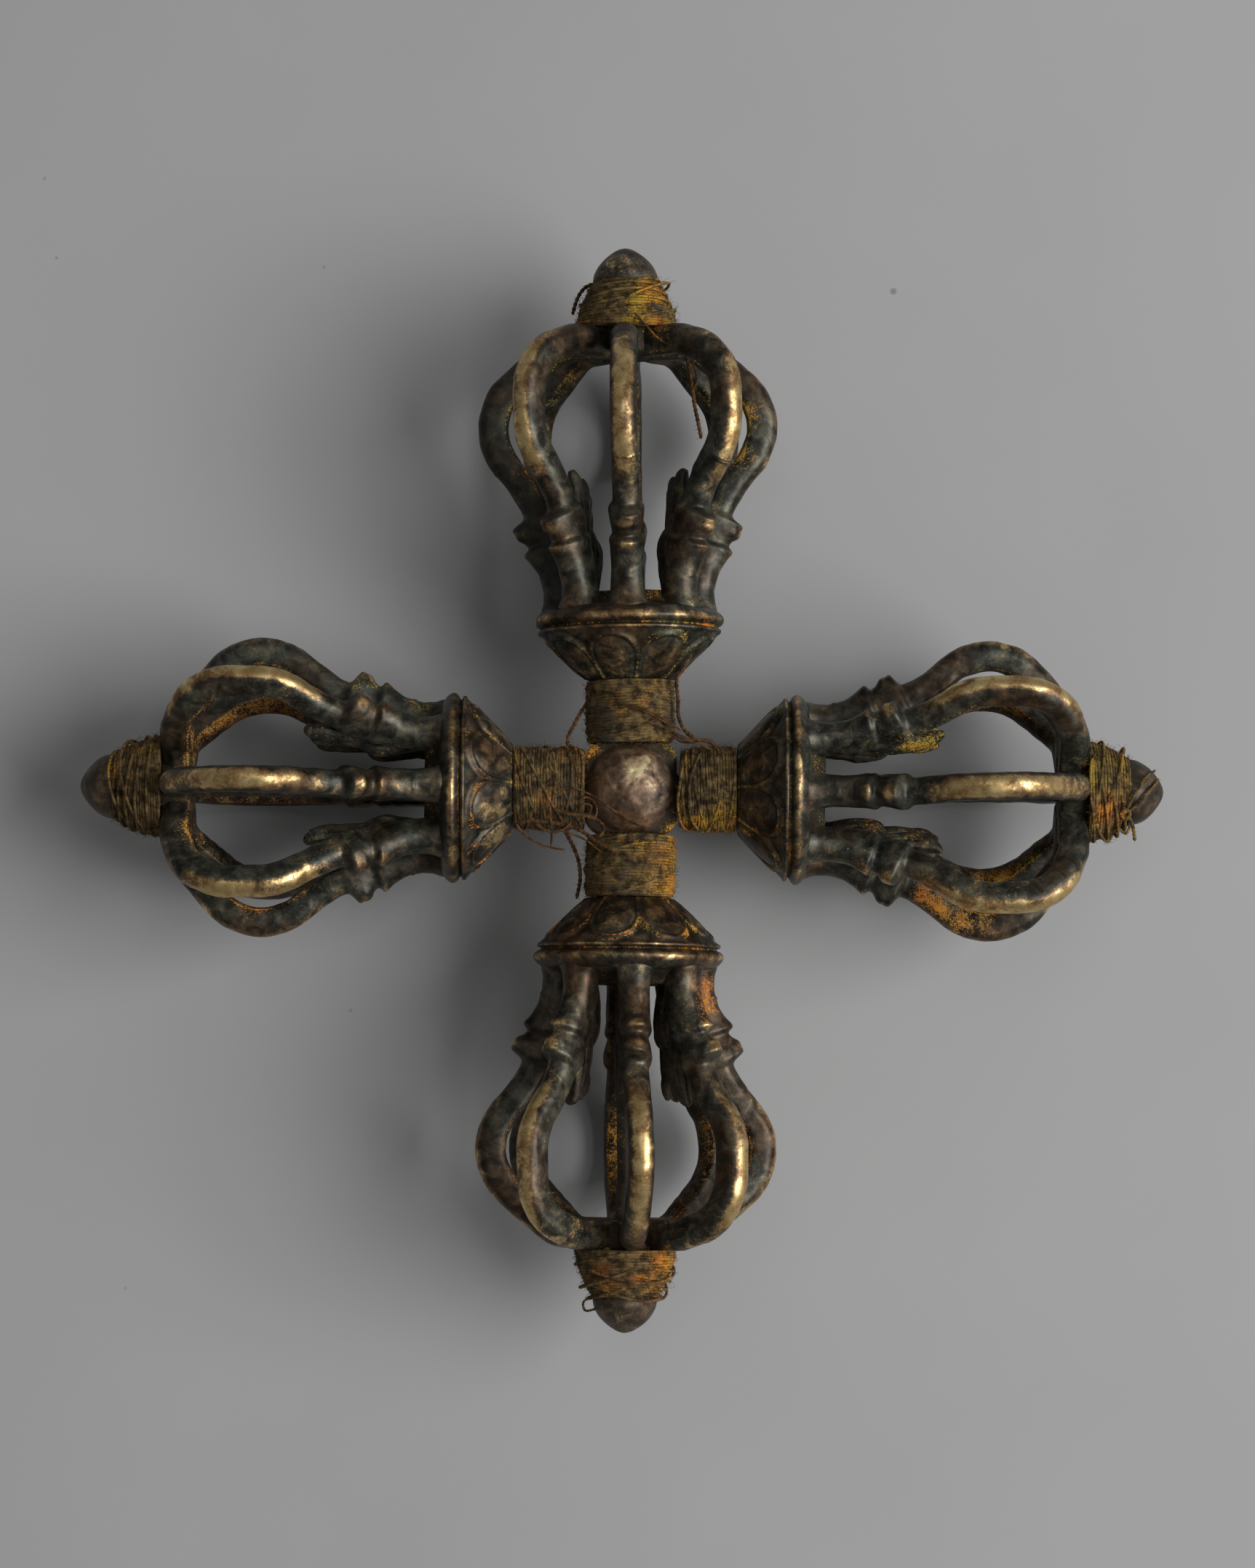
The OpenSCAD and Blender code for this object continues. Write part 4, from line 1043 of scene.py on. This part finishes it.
def coreDrum(low, high, first, last, belly, seed):  # matted inner layers
    heights = np.linspace(low, high, 34)[:, None]
    share = (heights - low) / (high - low)
    radius = first + (last - first) * share + belly * np.sin(math.pi * share)
    verts, faces = loft(spun(radius, heights, 120))
    verts[:, :2] *= (1 + 0.028 * wobble(verts, seed, 2.0))[:, None]
    return verts, faces


def strandShell(points, thickness):
    path = throughPoints(points, max(24, 12 * len(points)))
    along = unit(np.gradient(path, axis=0))
    side = unit(np.cross(along, [0.3, 0.5, 0.8]))
    top = np.cross(along, side)
    run = runAlong(path)
    turns = roundTurns(10)[None, :]
    roll = (run / thickness * bindings["twist"])[:, None]
    radius = thickness / 2 * (0.86 + 0.18 * np.cos(bindings["plies"] * (turns - roll)))
    fray = np.minimum(1, 0.45 + np.minimum(run, run[-1] - run) / thickness)[:, None]
    around = np.cos(turns)[..., None] * side[:, None, :] + np.sin(turns)[..., None] * top[:, None, :]
    return loft(path[:, None, :] + (radius * fray)[..., None] * around)


def binding(name, low, high, first, last, belly, seed, ends=()):
    thickness, slack = bindings["thread"], bindings["slack"]
    under, inset = bindings["coreUnder"], bindings["coreInset"]
    half = thickness / 2
    length = high - low
    turns = round((length - thickness) / bindings["step"])
    shells = [coreDrum(low + inset, high - inset, first - under, last - under, belly, seed)]
    for share, rise, lean, wander, phase in bindings["layers"]:
        count = turns * share
        shells.append(winding(name + "Winding", {
            "Turns": count, "First radius": (first - half + rise - slack) * mm,
            "Last radius": (last - half + rise - slack) * mm,
            "Belly": belly * mm, "Start": (low + half + abs(lean) * 0.2) * mm,
            "Length": (length - thickness - abs(lean) * 0.4) * mm, "Lean": lean * mm, "Wander": wander * mm,
            "Thread": thickness * mm, "Points": int(count * bindings["pointsTurn"]), "Seed": seed + phase}))
    shells += [strandShell(line, size) for size, line in ends]
    return newObject(name, *joinShells(shells))


def bindingDust(mesh, matrix, look, seed):  # powder in streaks that run with the thread
    points, normals = pointsOf(mesh), pointsOf(mesh, "normal")
    facing = (normals @ np.array(matrix)[:3, :3].T) @ np.array(look["powder"])
    streaks = points * [0.55, 0.55, 1.9]
    dust = look["dust"] + 0.30 * facing + 0.16 * wobble(points, seed, 6)
    setLook(mesh, dust=dust + 0.2 * wobble(streaks, seed + 60, 3.4),
            hue=0.5 + look["hue"] + 0.16 * wobble(streaks, seed + 70, 4.4))


def addFuzz(obj, material, density, length, seed):
    modifier = obj.modifiers.new("fuzz", "NODES")
    modifier.node_group = threadFuzz
    setInputs(modifier, {
        "Density": density / mm ** 2, "Length": length * mm, "Seed": seed, "Material": material})
    bakeModifiers(obj)


def finishBinding(obj, matrix, look, node, dustSeed, fuzzSeed):
    bindingDust(obj.data, matrix, look, dustSeed)
    finishPiece(obj, matrix, boundThread, node, {**bindings["fuzz"], "seed": fuzzSeed})


for i, head in enumerate(heads):
    neck = bindings["necks"][head]
    low = hub["radius"] + neck["start"]
    high = heads[head]["neck"] - heads[head]["drop"] - bindings["slack"]
    obj = binding(head + "NeckBinding", low, high, neck["outer"] - neck["eased"],
                  neck["outer"] - bindings["seatEased"], neck["eased"] / 2 + bindings["neckBelly"],
                  seeds["neck"] + i)
    finishBinding(obj, armMatrix(head), neck, "neck_binding_" + head,
                  seeds["neckDust"] + i, seeds["neckFuzz"] + i)
    toHead = headMatrix(head).inverted() @ hubPlace
    ends = [(size, place(toHead, np.array(line))) for size, line in bindings["knots"].get(head, [])]
    obj = binding(head + "TipBinding", bindings["tipStart"], bindings["tipEnd"] - heads[head]["dome"],
                  bindings["tipWide"], bindings["tipNarrow"], bindings["tipBelly"], seeds["tip"] + i, ends)
    finishBinding(obj, headMatrix(head), bindings["tips"][head], "tip_binding_" + head,
                  seeds["tipDust"] + i, seeds["tipFuzz"] + i)
print("bindings wound, triangles in the last:", len(obj.data.polygons))


# Loose thread ends, as points from the middle of the hub
strands = {
    "thickness": 0.62, "thin": 0.34, "fuzz": {"density": 2.5, "length": 0.7}, "dust": 0.16,
    # the first line of each is the end itself, the others are thinner fibres that lie with it
    "lines": {
        "north_tip_tail": [
            [(-5.4, 75, 0.3), (-6.7, 74.4, 0.4), (-7.65, 73.2, 0.8), (-8.25, 71.8, 0.6), (-8.65, 70.4, 0)]],
        "north_cage_tail": [
            [(8.2, 63.2, 6), (8.6, 61.4, 5.2), (9, 59, 4), (9.4, 56.4, 2.6), (10, 53.8, 1), (10.4, 52, -0.4)],
            [(0.6, 69.6, 7.2), (2.2, 67.6, 7.8), (3.6, 66, 8.2), (5, 64.9, 8.4), (6.8, 64.1, 8.2),
             (8.2, 63.2, 6.6)],
            [(8.2, 63.2, 6), (9.3, 61.8, 5.4), (9.6, 59.8, 4.6), (8.9, 58.2, 3.9)]],
        "north_neck_loop": [
            [(-6.3, 12.6, 1.4), (-7.25, 11.4, 1.6), (-8.2, 9.6, 2), (-9.1, 7.8, 2.3), (-9.3, 6.6, 2.6),
             (-8.8, 6, 3.1), (-7.9, 5.5, 3.9)]],
        "north_neck_thread": [
            [(7.9, 17.6, 4.2), (6.7, 15.8, 4), (6.9, 13, 3.6), (7, 10.4, 3.4), (8, 8.2, 4), (9.6, 7, 4.6),
             (11.6, 6.6, 4.2), (13, 5, 5)],
            [(2.4, 9.4, 6.9), (4.4, 8.9, 5.9), (6.2, 8, 5), (8.2, 7.2, 4.8), (10.4, 6.9, 4.6),
             (12.4, 6.5, 3.6)],
            [(5.4, 8.6, 5), (6.8, 7.4, 4.4), (8.4, 6.7, 4.6), (10, 6.3, 5), (11.8, 5.4, 5)],
            [(6, 7.6, 3.8), (7.4, 6.7, 3.6), (9, 6.6, 4), (10.8, 7, 4), (12, 6.9, 3.2)],
            [(-3.4, 12.3, 5.9), (-0.6, 12.0, 6.75), (2, 11.3, 6.5), (4.2, 10.3, 5.5), (6, 9.2, 4.5),
             (7.4, 8.3, 4.4)],
            [(-2.6, 11.8, 6.2), (0, 11.5, 6.8), (2.4, 10.8, 6.35), (4.4, 9.8, 5.3), (6.2, 8.7, 4.3)]],
        "west_tangle": [
            [(-16.6, -5.18, 5.38), (-14.4, -4.98, 5.38), (-12, -5.18, 5.18), (-9.6, -5.58, 4.98),
             (-7.4, -6.38, 4.98), (-5.4, -7.78, 5.58), (-3.6, -8.98, 6.48), (-2, -10.18, 7.28)],
            [(-16.8, -5.4, 4.9), (-15.6, -7, 4.5), (-13.6, -8.2, 4), (-11.4, -8.9, 3.7), (-9.7, -9.1, 3.6)],
            [(-12.4, -1.2, 6.4), (-11.9, -3, 6.3), (-11.7, -5, 5.8), (-11.6, -7, 5), (-11.7, -8.7, 4.3)],
            [(-11, -6.2, 4.8), (-9, -6.8, 5), (-6.6, -7.8, 5.2), (-4.6, -9.4, 5.8), (-3, -10.6, 6.6)],
            [(-14.8, -4.4, 5.7), (-13.2, -6, 5.5), (-11.4, -6.7, 5.3), (-9.8, -6.2, 5.4), (-8.6, -5, 5.7)]],
        "west_curl": [
            [(-11.2, -3.38, 6.38), (-9, -3.98, 5.98), (-6.8, -4.18, 5.58), (-4.8, -4.98, 5.38),
             (-4, -6.18, 5.88), (-4.6, -7.38, 5.88)],
            [(-10.8, -0.4, 6.5), (-8.2, -0.3, 6.4), (-5.6, -1.4, 6), (-3, -3.2, 5.9), (-0.8, -4.6, 5.5),
             (1.4, -5.7, 4.4)],
            [(-7.6, -2, 6.2), (-6.4, -1.6, 6.1), (-5.3, -2.4, 5.7), (-5, -3.8, 5.5), (-5.6, -5, 5.4)],
            [(-7.8, -3.8, 5.6), (-6.9, -2.6, 6), (-5.8, -2.9, 5.8), (-6.2, -4.4, 5.6)]],
        "south_west_tail": [
            [(-9.9, -5.8, 2.2), (-9, -7.6, 2), (-8.2, -9.2, 1.6), (-7.6, -11.2, 1.2), (-7.5, -13.6, 0.8),
             (-8, -16.2, 0.2)]],
    },
}
for i, (node, lines) in enumerate(strands["lines"].items()):
    first, *others = node.split("_")
    shells = [strandShell(lines[0], strands["thickness"])]
    shells += [strandShell(line, strands["thin"]) for line in lines[1:]]
    obj = newObject(first + "".join(word.title() for word in others), *joinShells(shells))
    outwards(obj.data)
    setLook(obj.data, dust=strands["dust"])
    finishPiece(obj, hubPlace, looseThread, node,
                {**strands["fuzz"], "seed": seeds["strandFuzz"] + i})
print("loose strands laid")


# Floor, lights and camera
studio = {
    "grey": 0.335, "floorHalf": 3, "fill": 0.18,
    "keyPower": 17.6, "keySize": 1.0, "keyPlace": (0.85, -0.07, 0.87),
    "topPower": 0.6, "topSize": 0.5, "topPlace": (-0.05, 0.25, 1.1),
    # marks on the floor: cells per metre, squeeze, size in a cell and strength
    "specks": [(55, 1, 0.035, 0.6), (90, 1, 0.03, 0.4), (26, 0.16, 0.022, 0.35)],
}
camera = {"target": (-0.51, 0.72, 22.3), "distance": 730, "elevation": 86.5, "lens": 113.75}


def grey(share):
    return (studio["grey"] * share,) * 3


def floorMaterial():
    material, shader, coords = newMaterial("greyPaper")
    colour = stops(grain(coords, 9), [(0.3, grey(0.96)), (0.7, grey(1.04))])
    for scale, stretch, size, strength in studio["specks"]:
        turn = newNode(coords.tree, "ShaderNodeMapping", {
            "Vector": coords, "Rotation": (0, 0, scale), "Scale": (1, stretch, 1)})
        away = newNode(coords.tree, "ShaderNodeTexVoronoi", {"Vector": turn, "Scale": scale}, out="Distance")
        chosen = calc("GREATER_THAN", away.out("Color"), 0.62)
        spot = calc("MULTIPLY", size - away, 2 / size, clamp=True) * chosen
        colour = blendColours(spot * strength, colour, grey(0.35))
    fill(shader, {"Base Color": colour, "Roughness": 0.9, "Specular IOR Level": 0.1})
    return material


half = studio["floorHalf"]
corners = [(-half, -half, 0), (half, -half, 0), (half, half, 0), (-half, half, 0)]
floor = newObject("floor", corners, [(0, 1, 2, 3)])
floor.data.materials.append(floorMaterial())


def addObject(name, data, spot, way):
    obj = bpy.data.objects.new(name, data)
    obj.location = spot
    obj.rotation_euler = way.to_track_quat("-Z", "Y").to_euler()
    bpy.context.scene.collection.objects.link(obj)
    return obj


for kind in ("key", "top"):
    light = bpy.data.lights.new(kind + "Light", "AREA")
    light.shape = "DISK"
    light.size = studio[kind + "Size"]
    light.energy = studio[kind + "Power"]
    addObject(kind + "Light", light, studio[kind + "Place"], -Vector(studio[kind + "Place"]))
world = bpy.data.worlds.new("studioAir")
world.use_nodes = True
fill(world.node_tree.nodes["Background"], {"Color": (1, 1, 1, 1), "Strength": studio["fill"]})
bpy.context.scene.world = world

lens = bpy.data.cameras.new("camera")
lens.lens = camera["lens"]
lens.sensor_width = 36
lens.clip_start = 0.05
tilt = math.radians(camera["elevation"])
back = Vector((0, -math.cos(tilt), math.sin(tilt)))
spot = (Vector(camera["target"]) + back * camera["distance"]) * mm
bpy.context.scene.camera = addObject("camera", lens, spot, -back)
bpy.context.scene.view_settings.view_transform = "Standard"
print("floor, lights and camera set")
